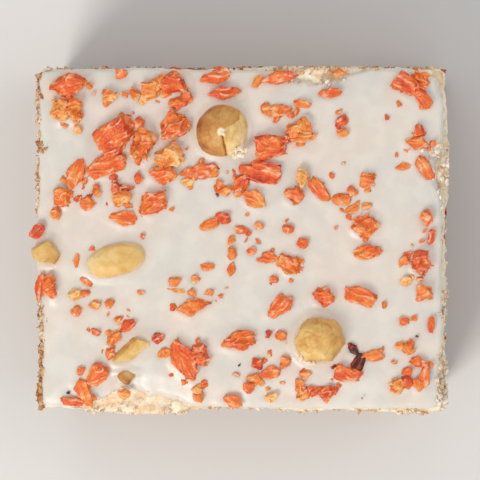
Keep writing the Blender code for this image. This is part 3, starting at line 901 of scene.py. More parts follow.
def build_cream(material):
    """The cream layer: ragged where the knife tore it, with its top showing where the glaze falls short."""
    piece = rounded_block("torn_cream", CREAM_INSET, SPONGE_HEIGHT - LAYER_OVERLAP, CREAM_TOP, 0)
    apply_modifier(piece, "REMESH", mode="VOXEL", voxel_size=CREAM_CELL)
    half_x, half_y = SLICE_LENGTH / 2 - CREAM_INSET, SLICE_WIDTH / 2 - CREAM_INSET
    points, tears = [], []
    for vert in piece.data.vertices:
        place = vert.co
        inside, out = edge_frame(place.x, place.y, half_x, half_y)
        share = min(1.0, max(0.0, (place.z - CREAM_BASE) / CREAM_HEIGHT))
        bulge = CREAM_BELLY * (math.sin(math.pi * (0.15 + 0.7 * share)) - 1)
        flat = Vector((TEAR_FLAT_ALONG * place.x, place.y, place.z * TEAR_FLAT_UP))
        tear = fractal(flat / CREAM_TEAR_SIZE, 4)
        edge = bulge + swell_at(place, CREAM_SWELLS) + edge_wave(place, CREAM_WAVE_SEED)
        offset = edge + CREAM_TEAR * (tear - TEAR_MIDDLE)
        ledge = fade(inside, CREAM_LEDGE_REACH)
        fibre = crest(noise.noise(flat / LEDGE_FIBRE), LEDGE_FIBRE_WIDTH)
        rough = fractal(flat / LEDGE_LUMP, 4) + fibre
        roughness = LEDGE_ROUGHNESS * ledge * (rough - LEDGE_MIDDLE)
        lift = share * (roughness + swell_at(place, CREAM_MOUNDS))
        points.append(place + out * offset * fade(inside, CREAM_EDGE_REACH) + Vector((0, 0, lift)))
        tears.append(0.5 + 0.3 * tear + 0.25 * rough * ledge)
    set_points(piece, kept_in_box(points))
    give_values(piece, "tear", tears)
    return finished(piece, material, "cream_layer")


def topping_footprints():
    """Every topping that the glaze climbs: across, back, half length, half width, turn, and how high."""
    found = [
        (x * MM, y * MM, length * MM / 2, width * MM / 2, math.radians(turn), NUT_CLIMB * height * MM)
        for x, y, length, width, height, turn in NUTS.values()
    ]
    for _, x, y, length, width, turn, _ in carrot_layout():
        found.append((x, y, length / 2, width / 2, turn, min(CARROT_CLIMB, CLIMB_SHARE * width)))
    return found


def climb_of_glaze(points):
    """How far the glaze rises round its toppings at each point."""
    rise = np.zeros(len(points))
    for x, y, half_length, half_width, turn, height in topping_footprints():
        away_x, away_y = points[:, 0] - x, points[:, 1] - y
        along = (away_x * math.cos(turn) + away_y * math.sin(turn)) / half_length
        across = (away_y * math.cos(turn) - away_x * math.sin(turn)) / half_width
        gap = np.maximum(0, np.hypot(along, across) - CLIMB_START) * min(half_length, half_width)
        rise = np.maximum(rise, height * np.exp(-((gap / CLIMB_REACH) ** 2)))
    return rise


def build_glaze(material):
    """The glaze: a slab with a round rim that waves, sags a little between toppings and climbs round them."""
    base = CREAM_TOP - LAYER_OVERLAP
    piece = rounded_block("white_glaze", GLAZE_INSET, base, GLAZE_TOP, GLAZE_ROUNDING)
    apply_modifier(piece, "REMESH", mode="VOXEL", voxel_size=GLAZE_CELL)
    apply_modifier(piece, "SMOOTH", factor=SMOOTHING_FACTOR, iterations=GLAZE_SMOOTHING)
    half_x, half_y = SLICE_LENGTH / 2 - GLAZE_INSET, SLICE_WIDTH / 2 - GLAZE_INSET
    climb = climb_of_glaze(points_of(piece))
    # How near each point is to a topping, for the glaze's tint.
    give_values(piece, "tint_mask", climb / CARROT_CLIMB)
    points = []
    for vert, rise in zip(piece.data.vertices, climb):
        place = vert.co
        inside, out = edge_frame(place.x, place.y, half_x, half_y)
        rim = place + out * inside
        swell_out = swell_at(rim, GLAZE_SWELLS)
        chip_depth = GLAZE_CHIP + GLAZE_BREAK * max(0.0, -swell_out)
        chip = chip_depth * fractal(rim / GLAZE_CHIP_SIZE, 3)
        offset = swell_out + edge_wave(rim, GLAZE_WAVE_SEED) + chip
        share = min(1.0, max(0.0, (place.z - GLAZE_BASE) / GLAZE_HEIGHT))
        swell = GLAZE_SWELL * fractal(place / GLAZE_SWELL_SIZE, 2) - GLAZE_SAG
        droop = GLAZE_DROOP * (1 - share) * noise.noise(place / GLAZE_DROOP_SIZE)
        lift = share * (swell + rise - GLAZE_ROLL * fade(inside, GLAZE_ROLL_REACH))
        lift += droop * fade(inside, GLAZE_DROOP_REACH)
        points.append(place + out * offset * fade(inside, GLAZE_EDGE_REACH) + Vector((0, 0, lift)))
    set_points(piece, kept_in_box(points))
    return finished(piece, material, "glaze")


def near_a_nut(across, back, reach):
    """True if a disc of this reach, in metres, would touch a hazelnut."""
    for nut_x, nut_y, length, width, _, turn in NUTS.values():
        along = Matrix.Rotation(math.radians(-turn), 2) @ Vector((across - nut_x * MM, back - nut_y * MM))
        grown_x = length * MM / 2 + reach + NUT_MARGIN
        grown_y = width * MM / 2 + reach + NUT_MARGIN
        if (along.x / grown_x) ** 2 + (along.y / grown_y) ** 2 < 1:
            return True
    return False


def in_metres(kind, across, back, length, width, turn, tone):
    """A row of a carrot table in metres and radians."""
    return kind, across * MM, back * MM, length * MM, width * MM, math.radians(turn), tone


def carrot_layout():
    """Every carrot piece as kind, across, back, length, width, turn and tone, in metres and radians: first
    the listed pieces, then the grains of each pinch from the draw that the solids use."""
    layout = [in_metres(*row) for row in CARROT_PIECES]
    draw = random.Random(SEED_OF_GRAINS)
    tones = random.Random(SEED_OF_GRAINS + 1)
    reach_x = SLICE_LENGTH / 2 - TOPPING_MARGIN
    reach_y = SLICE_WIDTH / 2 - TOPPING_MARGIN
    for across, back, reach, count in CARROT_PINCHES:
        for _ in range(count):
            angle = draw.uniform(0, 2 * math.pi)
            away = reach * MM * math.sqrt(draw.random())
            length = draw.uniform(GRAIN_LEAST, GRAIN_MOST)
            width = length * draw.uniform(0.6, 0.95)
            turn = draw.uniform(0, math.pi)
            x = min(reach_x, max(-reach_x, across * MM + away * math.cos(angle)))
            y = min(reach_y, max(-reach_y, back * MM + away * math.sin(angle)))
            if not near_a_nut(x, y, length / 2):
                layout.append(("grain", x, y, length, width, turn, tones.uniform(*GRAIN_TONES)))
    return layout


def cut_by_facets(piece, facets):
    """Cuts flat facets into a piece: the way each looks, and how far from the piece's middle it lies."""
    bpy.ops.object.mode_set(mode="EDIT")
    for way, share in facets:
        toward = Vector(way).normalized()
        bpy.ops.mesh.select_all(action="SELECT")
        bpy.ops.mesh.bisect(plane_co=toward * share, plane_no=toward, use_fill=True, clear_outer=True)
    bpy.ops.object.mode_set(mode="OBJECT")


def drawn_facets(draw, count, least, most):
    """Facets drawn round a piece's sides, each leaning its own way, with one across the top."""
    start = draw.uniform(0, 2 * math.pi)
    facets = [((draw.uniform(-0.4, 0.4), draw.uniform(-0.4, 0.4), 1), draw.uniform(least, most))]
    for number in range(count):
        angle = start + 2 * math.pi * (number + draw.uniform(-0.35, 0.35)) / count
        way = (math.cos(angle), math.sin(angle), draw.uniform(-0.2, 0.5))
        facets.append((way, draw.uniform(least, most)))
    return facets


def chunk_prototype(draw):
    """A dried nugget of carrot: a ball cut by four to six facets round its sides and one across its top."""
    bpy.ops.mesh.primitive_ico_sphere_add(subdivisions=4, radius=1)
    piece = added_piece("chunk_start")
    cut_by_facets(piece, drawn_facets(draw, draw.randint(4, 6), 0.5, 0.8))
    return piece


def slab_start(name, cuts, thickness):
    """A slab of unit side, cut into small faces so that it can be bent and crumpled."""
    bpy.ops.mesh.primitive_cube_add(size=1, scale=(1, 1, thickness))
    piece = added_piece(name)
    bpy.ops.object.mode_set(mode="EDIT")
    bpy.ops.mesh.select_all(action="SELECT")
    bpy.ops.mesh.subdivide(number_cuts=cuts)
    bpy.ops.object.mode_set(mode="OBJECT")
    return piece


def curl_prototype(draw):
    """A shaving that dried crumpled: a flat round of carrot folded in waves and bent."""
    bpy.ops.mesh.primitive_uv_sphere_add(segments=40, ring_count=24, radius=0.5)
    piece = added_piece("curl_start")
    shift = Vector((draw.uniform(0, 90), draw.uniform(0, 90), 0))
    for vert in piece.data.vertices:
        vert.co.z *= CURL_THICKNESS
        vert.co += CURL_FOLD * noise.noise_vector(CURL_FOLDS * vert.co + shift)
    bend = math.radians(draw.uniform(30, 90))
    apply_modifier(piece, "SIMPLE_DEFORM", deform_method="BEND", deform_axis="Y", angle=bend)
    return piece


def flake_prototype(draw):
    """A thin shaving: a twisted slab that tapers to one end, cut off askew."""
    piece = slab_start("flake_start", 7, 0.5)
    taper = draw.uniform(-1.1, -0.3)
    twist, bend = math.radians(draw.uniform(-30, 30)), math.radians(draw.uniform(-50, 50))
    apply_modifier(piece, "SIMPLE_DEFORM", deform_method="TAPER", deform_axis="X", factor=taper)
    apply_modifier(piece, "SIMPLE_DEFORM", deform_method="TWIST", deform_axis="X", angle=twist)
    apply_modifier(piece, "SIMPLE_DEFORM", deform_method="BEND", deform_axis="Z", angle=bend)
    cut_by_facets(piece, drawn_facets(draw, 4, 0.38, 0.52))
    return piece


def grain_prototype(draw):
    """A small grain: a ball cut by a few facets, its edges softened."""
    bpy.ops.mesh.primitive_ico_sphere_add(subdivisions=3, radius=1)
    piece = added_piece("grain_start")
    cut_by_facets(piece, drawn_facets(draw, draw.randint(3, 5), 0.35, 0.75))
    fit_to_unit(piece)
    apply_modifier(piece, "REMESH", mode="VOXEL", voxel_size=GRAIN_CELL)
    return piece


def crumb_prototype(draw):
    """A loose crumb: a ball of a few dozen faces with facets broken off."""
    bpy.ops.mesh.primitive_ico_sphere_add(subdivisions=2, radius=1)
    piece = added_piece("crumb_start")
    cut_by_facets(piece, drawn_facets(draw, draw.randint(2, 4), 0.45, 0.8))
    apply_modifier(piece, "TRIANGULATE")
    apply_modifier(piece, "DECIMATE", ratio=CRUMB_KEPT)
    fit_to_unit(piece)
    return piece


def fit_to_unit(piece):
    """Scales and centres a prototype so that it fills a cube of side 1."""
    points = points_of(piece)
    low, high = points.min(axis=0), points.max(axis=0)
    set_points(piece, (points - (low + high) / 2) / (high - low))


def crest(value, width):
    """1 where a noise crosses zero, falling to 0 at this width on either side: a meandering crest line."""
    return max(0.0, 1 - abs(value) / width)


def linked_copy(prototype):
    """A copy of a prototype with a mesh of its own, in the scene."""
    piece = prototype.copy()
    piece.data = prototype.data.copy()
    bpy.context.scene.collection.objects.link(piece)
    return piece


def relief_of_carrot(piece, seed, size, bend):
    """Pushes a carrot piece's points about: broad lumps, wrinkles that meander this much and fibres between
    them. Returns how high each point stands on its wrinkle, for painted highlight and crease shade."""
    shift = Vector((seed * 7.31, seed * 3.17, seed * 1.73))
    lump = LUMP_SHARE * min(size.y, size.z)
    wrinkle_height = min(WRINKLE_HEIGHT, WRINKLE_SHARE * size.z)
    points, ridge_lights_and_shades = [], []
    for vert in piece.data.vertices:
        place, normal = vert.co.copy(), vert.normal.copy()
        broad = fractal(place / (LUMP_LENGTH * size.x) + shift, 2)
        bent = place + bend * noise.noise_vector(place / BEND_SIZE + shift)
        along = bent.x / WRINKLE_LENGTH
        on_wrinkles = Vector((along, bent.y / WRINKLE_SPACING, bent.z / WRINKLE_SPACING))
        on_fibres = Vector((2 * along, bent.y / FIBRE_SPACING, bent.z / FIBRE_SPACING))
        wrinkle = crest(noise.noise(on_wrinkles + shift), WRINKLE_WIDTH)
        fibre = crest(noise.noise(on_fibres - shift), WRINKLE_WIDTH)
        out = lump * (broad - LUMP_MIDDLE) + wrinkle_height * (wrinkle - CREST_MIDDLE)
        out += FIBRE_HEIGHT * (fibre - CREST_MIDDLE)
        points.append(place + normal * out)
        # Painted highlight on the crests; where both are low the carrot gets painted crease shade.
        ridge_lights_and_shades.append(WRINKLE_PAINTED_LIGHT * wrinkle + FIBRE_PAINTED_LIGHT * fibre)
    set_points(piece, points)
    return ridge_lights_and_shades


def widen_what_shows(piece, length, width, glaze_level):
    """Centres and stretches a piece so that what shows above the glaze is as long and wide as its solid."""
    points = points_of(piece)
    shown = points[points[:, 2] > glaze_level]
    low, high = shown.min(axis=0), shown.max(axis=0)
    middle = (low + high) / 2
    wanted = np.array((length, width))
    points[:, :2] = (points[:, :2] - middle[:2]) * CARROT_FULLNESS * wanted / (high - low)[:2]
    set_points(piece, points)


def carrot_copy(prototype, index, kind, across, back, length, width, turn, tone):
    """One carrot piece: the prototype at its true size, roughened, turned and laid on the glaze."""
    piece = linked_copy(prototype)
    size = Vector((length, width, width * KIND_HEIGHT[kind]))
    piece.data.transform(Matrix.Diagonal((*size, 1)))
    if kind != "grain":
        apply_modifier(piece, "REMESH", mode="VOXEL", voxel_size=CARROT_CELL)
    ridge_lights_and_shades = relief_of_carrot(piece, index + 1, size, WRINKLE_BEND[kind])
    widen_what_shows(piece, length, width, size.z * (SUNK_SHARE - 0.5))
    centre = Vector((across, back, GLAZE_TOP + size.z * (0.5 - SUNK_SHARE)))
    piece.data.transform(Matrix.Translation(centre) @ Matrix.Rotation(turn, 4, "Z"))
    give_values(piece, "tone", [tone] * len(ridge_lights_and_shades))
    give_values(piece, "ridge_light_and_shade", ridge_lights_and_shades)
    return piece


def joined(pieces, name):
    """The pieces as one, under the first one's name."""
    bpy.ops.object.select_all(action="DESELECT")
    for piece in pieces:
        piece.select_set(True)
    bpy.context.view_layer.objects.active = pieces[0]
    bpy.ops.object.join()
    pieces[0].name = name
    bpy.ops.object.select_all(action="DESELECT")
    return pieces[0]


def extra_layout():
    """The carrot pieces made for the looks alone, as in carrot_layout: the small ones, then the finest."""
    layout = [in_metres(*row) for row in SMALL_CARROTS]
    draw = random.Random(SEED_OF_FINE_GRAINS)
    reach_x, reach_y = SLICE_LENGTH / 2 - TOPPING_MARGIN, SLICE_WIDTH / 2 - TOPPING_MARGIN
    for across, back, reach, count in FINE_PINCHES:
        for _ in range(count):
            angle = draw.uniform(0, 2 * math.pi)
            away = reach * MM * math.sqrt(draw.random())
            length = FINE_LEAST + (FINE_MOST - FINE_LEAST) * draw.random() ** 1.5
            x, y = across * MM + away * math.cos(angle), back * MM + away * math.sin(angle)
            tone = draw.uniform(*GRAIN_TONES)
            width, turn = length * draw.uniform(0.5, 0.9), draw.uniform(0, math.pi)
            if abs(x) < reach_x and abs(y) < reach_y and not near_a_nut(x, y, length / 2):
                layout.append(("grain", x, y, length, width, turn, tone))
    return layout


def build_carrots(material):
    """The carrot pieces on the glaze, one joined piece for each kind, from a few prototypes of each."""
    makers = {
        "chunk": chunk_prototype,
        "curl": curl_prototype,
        "flake": flake_prototype,
        "grain": grain_prototype,
    }
    draw = random.Random(SEED_OF_VARIANTS)
    prototypes = {kind: [maker(draw) for _ in range(CARROT_VARIANTS)] for kind, maker in makers.items()}
    made = {kind: [] for kind in makers}
    for variants in prototypes.values():
        for prototype in variants:
            fit_to_unit(prototype)
    for index, (kind, *place) in enumerate(carrot_layout() + extra_layout()):
        prototype = prototypes[kind][index % CARROT_VARIANTS]
        made[kind].append(carrot_copy(prototype, index, kind, *place))
    for kind, pieces in made.items():
        piece = joined(pieces, f"carrot_{kind}s")
        set_points(piece, kept_in_box(points_of(piece)))
        finished(piece, material, "glaze")
    for variants in prototypes.values():
        for prototype in variants:
            bpy.data.objects.remove(prototype)


def nut_lump(name):
    """A hazelnut about its own middle: a ball cut by its facets and its flat underside, its edges soft."""
    bpy.ops.mesh.primitive_ico_sphere_add(subdivisions=5, radius=1.0)
    piece = added_piece(name + "_kernel")
    cut_by_facets(piece, (*NUT_FACETS[name], ((0, 0, -1), 0.0)))
    length, width, height, turn = NUTS[name][2:]
    points = points_of(piece)
    points[:, :2] /= np.abs(points[:, :2]).max(axis=0)
    pinch = 1 - NUT_WAIST.get(name, 0.0) * np.exp(-((points[:, 0] / WAIST_REACH) ** 2))
    points[:, 1] *= pinch
    points[:, 2] *= pinch
    points *= np.array((length / 2, width / 2, height + NUT_SINK / MM)) * MM
    set_points(piece, points)
    apply_modifier(piece, "REMESH", mode="VOXEL", voxel_size=NUT_CELL)
    apply_modifier(piece, "SMOOTH", factor=SMOOTHING_FACTOR, iterations=NUT_SMOOTHING[name])
    piece.data.transform(Matrix.Rotation(math.radians(turn), 4, "Z"))
    return piece


def place_nut(piece, name):
    across, back = NUTS[name][:2]
    piece.data.transform(Matrix.Translation((across * MM, back * MM, GLAZE_TOP - NUT_SINK)))


def kernel_relief(piece, name, seed, depth):
    """A kernel's knobs, grooves and spots; returns its knobs and the spots' change of tone at each point."""
    shift = Vector((seed, seed * 2.3, seed * 5.1))
    points, knobs, changes = [], [], []
    for vert in piece.data.vertices:
        place, normal = vert.co.copy(), vert.normal.copy()
        knob = fractal(place / KNOB_SIZE + shift, 3)
        groove = crest(noise.noise(place / GROOVE_SIZE - shift), GROOVE_WIDTH)
        lift, change = depth * (knob - GROOVE_SHARE * groove - KNOB_MIDDLE), 0.0
        for across, back, reach, out, tone in NUT_SPOTS[name]:
            away = (place.xy - Vector((across, back)) * MM).length / (reach * MM)
            near = math.exp(-(away ** 2))
            lift += out * MM * near
            change += tone * near
        points.append(place + normal * lift)
        knobs.append(0.5 * knob + 0.5 * groove)
        changes.append(change)
    set_points(piece, points)
    return np.array(knobs), np.array(changes)


def coat_of_icing(piece, reach):
    """How far icing coats each point: up to about reach above the glaze, in patches."""
    coats = []
    for vert in piece.data.vertices:
        patch = 1 + 0.9 * fractal(vert.co / COAT_PATCH, 2)
        coats.append(fade(vert.co.z - GLAZE_TOP - 0.3 * reach * patch, 0.7 * reach))
    return coats


def past_the_break(off):
    """How far a point, measured from the back kernel's tip, lies right of the break in its skin."""
    if off.y < 0:
        return off.x - BREAK_START + BREAK_LEAN * off.y
    return off.x - BREAK_START - BREAK_SWING * (1 - fade(off.y, BREAK_RISE))


def skin_kernel(material):
    """The golden kernel at the back: a crack runs from its pale tip to the rim, and to the right of it the
    skin has broken off down to the flesh."""
    name = "hazelnut_back"
    piece = nut_lump(name)
    knobs, changes = kernel_relief(piece, name, SKIN_SEED, SKIN_DEPTH)
    points, tones = points_of(piece), []
    for index, point in enumerate(points):
        off = Vector(point[:2])
        wander = BREAK_WANDER * fractal(Vector(point) / BREAK_WANDER_SIZE, 2)
        past = past_the_break(off) + wander
        away = off.length / (NUTS[name][2] * MM / 2)
        bare = 1 - fade(past, BREAK_SOFTNESS)
        crumble = fractal(Vector(point) / FLESH_LUMP_SIZE, 3)
        crack = math.exp(-((past / CRACK_WIDTH) ** 2)) * (1.0 if off.y < 0 else CRACK_AT_BACK)
        tip = fade(off.length + wander - 0.6 * TIP_REACH, 0.4 * TIP_REACH)
        sunk = bare * (BREAK_DEPTH + FLESH_LUMP * crumble) + CRACK_DEPTH * crack - TIP_HEIGHT * tip
        points[index, 2] -= sunk
        streak = noise.noise(Vector((6 * math.atan2(off.y, off.x), 2 * away, 0)))
        # Painted shade: the skin darkens along its left rim.
        rim = fade(abs(away - 0.95), 0.35) * (1 if off.x < 0 else 0)
        skin = SKIN_TONE + 0.05 * streak + 0.12 * rim
        flesh = FLESH_TONE - 0.14 * crumble
        tone = skin * (1 - bare) + flesh * bare + CRACK_TONE * crack
        tone = tone + 0.08 * knobs[index] + changes[index]
        tones.append(tone * (1 - tip))
    set_points(piece, points)
    place_nut(piece, name)
    give_values(piece, "tone", tones)
    give_values(piece, "coat", coat_of_icing(piece, SKIN_COAT))
    return finished(piece, material, name)


def plain_kernel(material, name, seed, depth, tone, spread, coat):
    """A peeled or broken kernel whose tone wanders with its knobs, partly coated with icing."""
    piece = nut_lump(name)
    knobs, changes = kernel_relief(piece, name, seed, depth)
    place_nut(piece, name)
    give_values(piece, "tone", tone + spread * knobs + changes)
    give_values(piece, "coat", coat_of_icing(piece, coat))
    return finished(piece, material, name)


def finished(piece, material, node):
    """Gives a finished piece its material, smooth shading and its place in the frame."""
    piece.data.materials.clear()
    piece.data.materials.append(material)
    piece.data.polygons.foreach_set("use_smooth", [True] * len(piece.data.polygons))
    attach(piece, "root")
    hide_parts(node)
    return piece


def new_material(name):
    """A material with its node tree and its Principled shader."""
    material = bpy.data.materials.new(name)
    material.use_nodes = True
    tree = material.node_tree
    return material, tree, tree.nodes["Principled BSDF"]


def feed(tree, value, target):
    """Links a socket to a target socket, or sets the target to a plain value."""
    if isinstance(value, bpy.types.NodeSocket):
        tree.links.new(value, target)
    else:
        target.default_value = value


def place_of_surface(tree):
    return tree.nodes.new("ShaderNodeTexCoord").outputs["Object"]


def point_value(tree, name):
    """A number stored at the piece's points."""
    reader = tree.nodes.new("ShaderNodeAttribute")
    reader.attribute_name = name
    return reader.outputs["Fac"]


def noise_value(tree, place, size, detail):
    texture = tree.nodes.new("ShaderNodeTexNoise")
    tree.links.new(place, texture.inputs["Vector"])
    texture.inputs["Scale"].default_value = 1 / size
    texture.inputs["Detail"].default_value = detail
    return texture.outputs["Fac"]


def cell_value(tree, place, size, output):
    """Voronoi cells of this size: their Distance, or a Color drawn for each."""
    texture = tree.nodes.new("ShaderNodeTexVoronoi")
    tree.links.new(place, texture.inputs["Vector"])
    texture.inputs["Scale"].default_value = 1 / size
    return texture.outputs[output]


def between(tree, value, low, high, at_low=0.0, at_high=1.0):
    """The value, stretched so that low becomes at_low and high becomes at_high, and held between them."""
    ramp = tree.nodes.new("ShaderNodeMapRange")
    ramp.interpolation_type = "SMOOTHSTEP"
    tree.links.new(value, ramp.inputs["Value"])
    for name, number in (("From Min", low), ("From Max", high), ("To Min", at_low), ("To Max", at_high)):
        ramp.inputs[name].default_value = number
    return ramp.outputs["Result"]


def combined(tree, operation, first, second):
    node = tree.nodes.new("ShaderNodeMath")
    node.operation = operation
    feed(tree, first, node.inputs[0])
    feed(tree, second, node.inputs[1])
    return node.outputs["Value"]


def blended(tree, mask, first, second):
    """The first colour where the mask is 0 and the second where it is 1."""
    node = tree.nodes.new("ShaderNodeMix")
    node.data_type = "RGBA"
    feed(tree, mask, node.inputs[0])
    feed(tree, first, node.inputs[6])
    feed(tree, second, node.inputs[7])
    return node.outputs[2]


def ramp_colour(tree, value, stops):
    """A colour picked along a ramp of (position, colour) stops."""
    node = tree.nodes.new("ShaderNodeValToRGB")
    tree.links.new(value, node.inputs["Fac"])
    elements = node.color_ramp.elements
    while len(elements) < len(stops):
        elements.new(0.5)
    for element, (position, colour) in zip(elements, stops):
        element.position = position
        element.color = colour
    return node.outputs["Color"]


def patches(tree, place, size, detail, low, high, at_low=0.0, at_high=1.0):
    """Soft patches of this size, as a value that runs from at_low to at_high."""
    return between(tree, noise_value(tree, place, size, detail), low, high, at_low, at_high)


def tinted(tree, colour, tint, mask, most):
    """The colour with a tint over it where the mask is 1, at most by this share."""
    return blended(tree, combined(tree, "MULTIPLY", mask, most), colour, tint)


def give_surface(tree, shader, colour, roughness, normal):
    """Feeds the shader its colour, roughness and normal."""
    for name, value in (("Base Color", colour), ("Roughness", roughness), ("Normal", normal)):
        feed(tree, value, shader.inputs[name])


def let_light_in(shader, weight, radii, scale):
    """Lets light scatter under the surface."""
    for name, value in (("Weight", weight), ("Radius", radii), ("Scale", scale)):
        shader.inputs["Subsurface " + name].default_value = value


def bumped(tree, height, strength, distance):
    """A normal bumped by this height."""
    node = tree.nodes.new("ShaderNodeBump")
    node.inputs["Strength"].default_value = strength
    node.inputs["Distance"].default_value = distance
    tree.links.new(height, node.inputs["Height"])
    return node.outputs["Normal"]


def fine_grain_group():
    """A shared effect: fine grains over the surface, as a mask, with the height that bumps them."""
    group = bpy.data.node_groups.new("fine grain", "ShaderNodeTree")
    size = group.interface.new_socket(name="Grains per metre", in_out="INPUT", socket_type="NodeSocketFloat")
    size.default_value = 1 / MM
    group.interface.new_socket(name="Mask", in_out="OUTPUT", socket_type="NodeSocketFloat")
    group.interface.new_socket(name="Height", in_out="OUTPUT", socket_type="NodeSocketFloat")
    inside = group.nodes.new("NodeGroupInput")
    outside = group.nodes.new("NodeGroupOutput")
    place = place_of_surface(group)
    cells = group.nodes.new("ShaderNodeTexVoronoi")
    soft = group.nodes.new("ShaderNodeTexNoise")
    soft.inputs["Detail"].default_value = 4
    for texture in (cells, soft):
        group.links.new(place, texture.inputs["Vector"])
        group.links.new(inside.outputs["Grains per metre"], texture.inputs["Scale"])
    rounded = between(group, cells.outputs["Distance"], 0.15, 0.75, 1.0, 0.0)
    group.links.new(combined(group, "MULTIPLY", rounded, soft.outputs["Fac"]), outside.inputs["Height"])
    group.links.new(between(group, soft.outputs["Fac"], 0.4, 0.62), outside.inputs["Mask"])
    return group


def fine_grain(tree, group, size):
    """Places the shared grain in a material, with grains of this size."""
    node = tree.nodes.new("ShaderNodeGroup")
    node.node_tree = group
    node.inputs["Grains per metre"].default_value = 1 / size
    return node.outputs["Mask"], node.outputs["Height"]


def sponge_material(grain):
    """Moist crumb: browns that vary, holes and pores painted dark with shade, orange flecks, a baked base."""
    material, tree, shader = new_material("sponge_crumb_look")
    place = place_of_surface(tree)
    broad = patches(tree, place, 9 * MM, 3, 0.35, 0.65)
    fine = patches(tree, place, 1.3 * MM, 5, 0.36, 0.64)
    mask, height = fine_grain(tree, grain, 0.55 * MM)
    colour = blended(tree, broad, CRUMB_BROWN, CRUMB_GOLD)
    colour = tinted(tree, colour, CRUMB_LIGHT, fine, 0.6)
    colour = tinted(tree, colour, CRUMB_DEEP, mask, 0.3)
    # Painted shade: small holes, given as noise patches, are painted dark; the bump dents them too.
    hole_and_its_shade = patches(tree, place, 1.1 * MM, 5, 0.31, 0.43, 1.0, 0.0)
    colour = tinted(tree, colour, CRUMB_PIT_SHADE, hole_and_its_shade, 0.65)
    drawn = cell_value(tree, place, 2.1 * MM, "Color")
    spots = cell_value(tree, place, 2.1 * MM, "Distance")
    near_spot = between(tree, spots, 0.2, 0.34, 1.0, 0.0)
    orange = combined(tree, "MULTIPLY", between(tree, drawn, 0.66, 0.7), near_spot)
    colour = tinted(tree, colour, CRUMB_FLECK, orange, 0.75)
    # Painted shade: the crumb is darkened in its hollows, by the values stored at its points.
    colour = blended(tree, between(tree, point_value(tree, "pit_shade"), 0.2, 1.0, 0.0, 0.85), colour, CRUMB_PIT_SHADE)
    split = tree.nodes.new("ShaderNodeSeparateXYZ")
    tree.links.new(place, split.inputs["Vector"])
    wavy = combined(tree, "ADD", split.outputs["Z"], combined(tree, "MULTIPLY", fine, 0.9 * MM))
    crust = between(tree, wavy, 0.9 * MM, 2.2 * MM, 0.85, 0.0)
    colour = blended(tree, crust, colour, CRUMB_CRUST)
    rough = combined(tree, "SUBTRACT", combined(tree, "MULTIPLY", height, 0.5), hole_and_its_shade)
    rough = combined(tree, "ADD", rough, noise_value(tree, place, 1.7 * MM, 8))
    normal = bumped(tree, rough, 0.9, 0.6 * MM)
    give_surface(tree, shader, colour, between(tree, fine, 0, 1, 0.55, 0.85), normal)
    let_light_in(shader, *SPONGE_DEPTH)
    return material


def cream_material(grain):
    """Soft cream: pale on what stands out, deeper and browner with crumb in its tears."""
    material, tree, shader = new_material("torn_cream_look")
    place = place_of_surface(tree)
    mask, height = fine_grain(tree, grain, 0.6 * MM)
    tint_mask = patches(tree, place, 3.2 * MM, 5, 0.5, 0.68)
    colour = blended(tree, between(tree, point_value(tree, "tear"), 0.3, 0.75), CREAM_DEEP, CREAM_PALE)
    colour = tinted(tree, colour, CREAM_STAIN, tint_mask, 0.5)
    colour = tinted(tree, colour, CREAM_PALE, mask, 0.25)
    roughness = between(tree, mask, 0, 1, 0.5, 0.7)
    give_surface(tree, shader, colour, roughness, bumped(tree, height, 0.4, 0.3 * MM))
    let_light_in(shader, *CREAM_DEPTH)
    return material


def glaze_material():
    """Set glaze: warm white with cooler patches, tinted where it climbs its toppings, satin, a little
    translucent."""
    material, tree, shader = new_material("white_glaze_look")
    place = place_of_surface(tree)
    patch = patches(tree, place, 11 * MM, 3, 0.38, 0.62)
    cloud = patches(tree, place, 3.5 * MM, 4, 0.4, 0.66)
    colour = blended(tree, patch, GLAZE_WARM, GLAZE_COOL)
    colour = tinted(tree, colour, GLAZE_BRIGHT, cloud, 0.35)
    # Darker and peach where the glaze climbs round its toppings.
    tint_mask = between(tree, point_value(tree, "tint_mask"), 0.05, 1.0, 0.0, 0.3)
    colour = blended(tree, tint_mask, colour, GLAZE_ROUND_TOPPINGS)
    normal = bumped(tree, noise_value(tree, place, 2.4 * MM, 4), 0.16, 0.5 * MM)
    give_surface(tree, shader, colour, between(tree, cloud, 0, 1, 0.3, 0.42), normal)
    let_light_in(shader, *GLAZE_DEPTH)
    return material


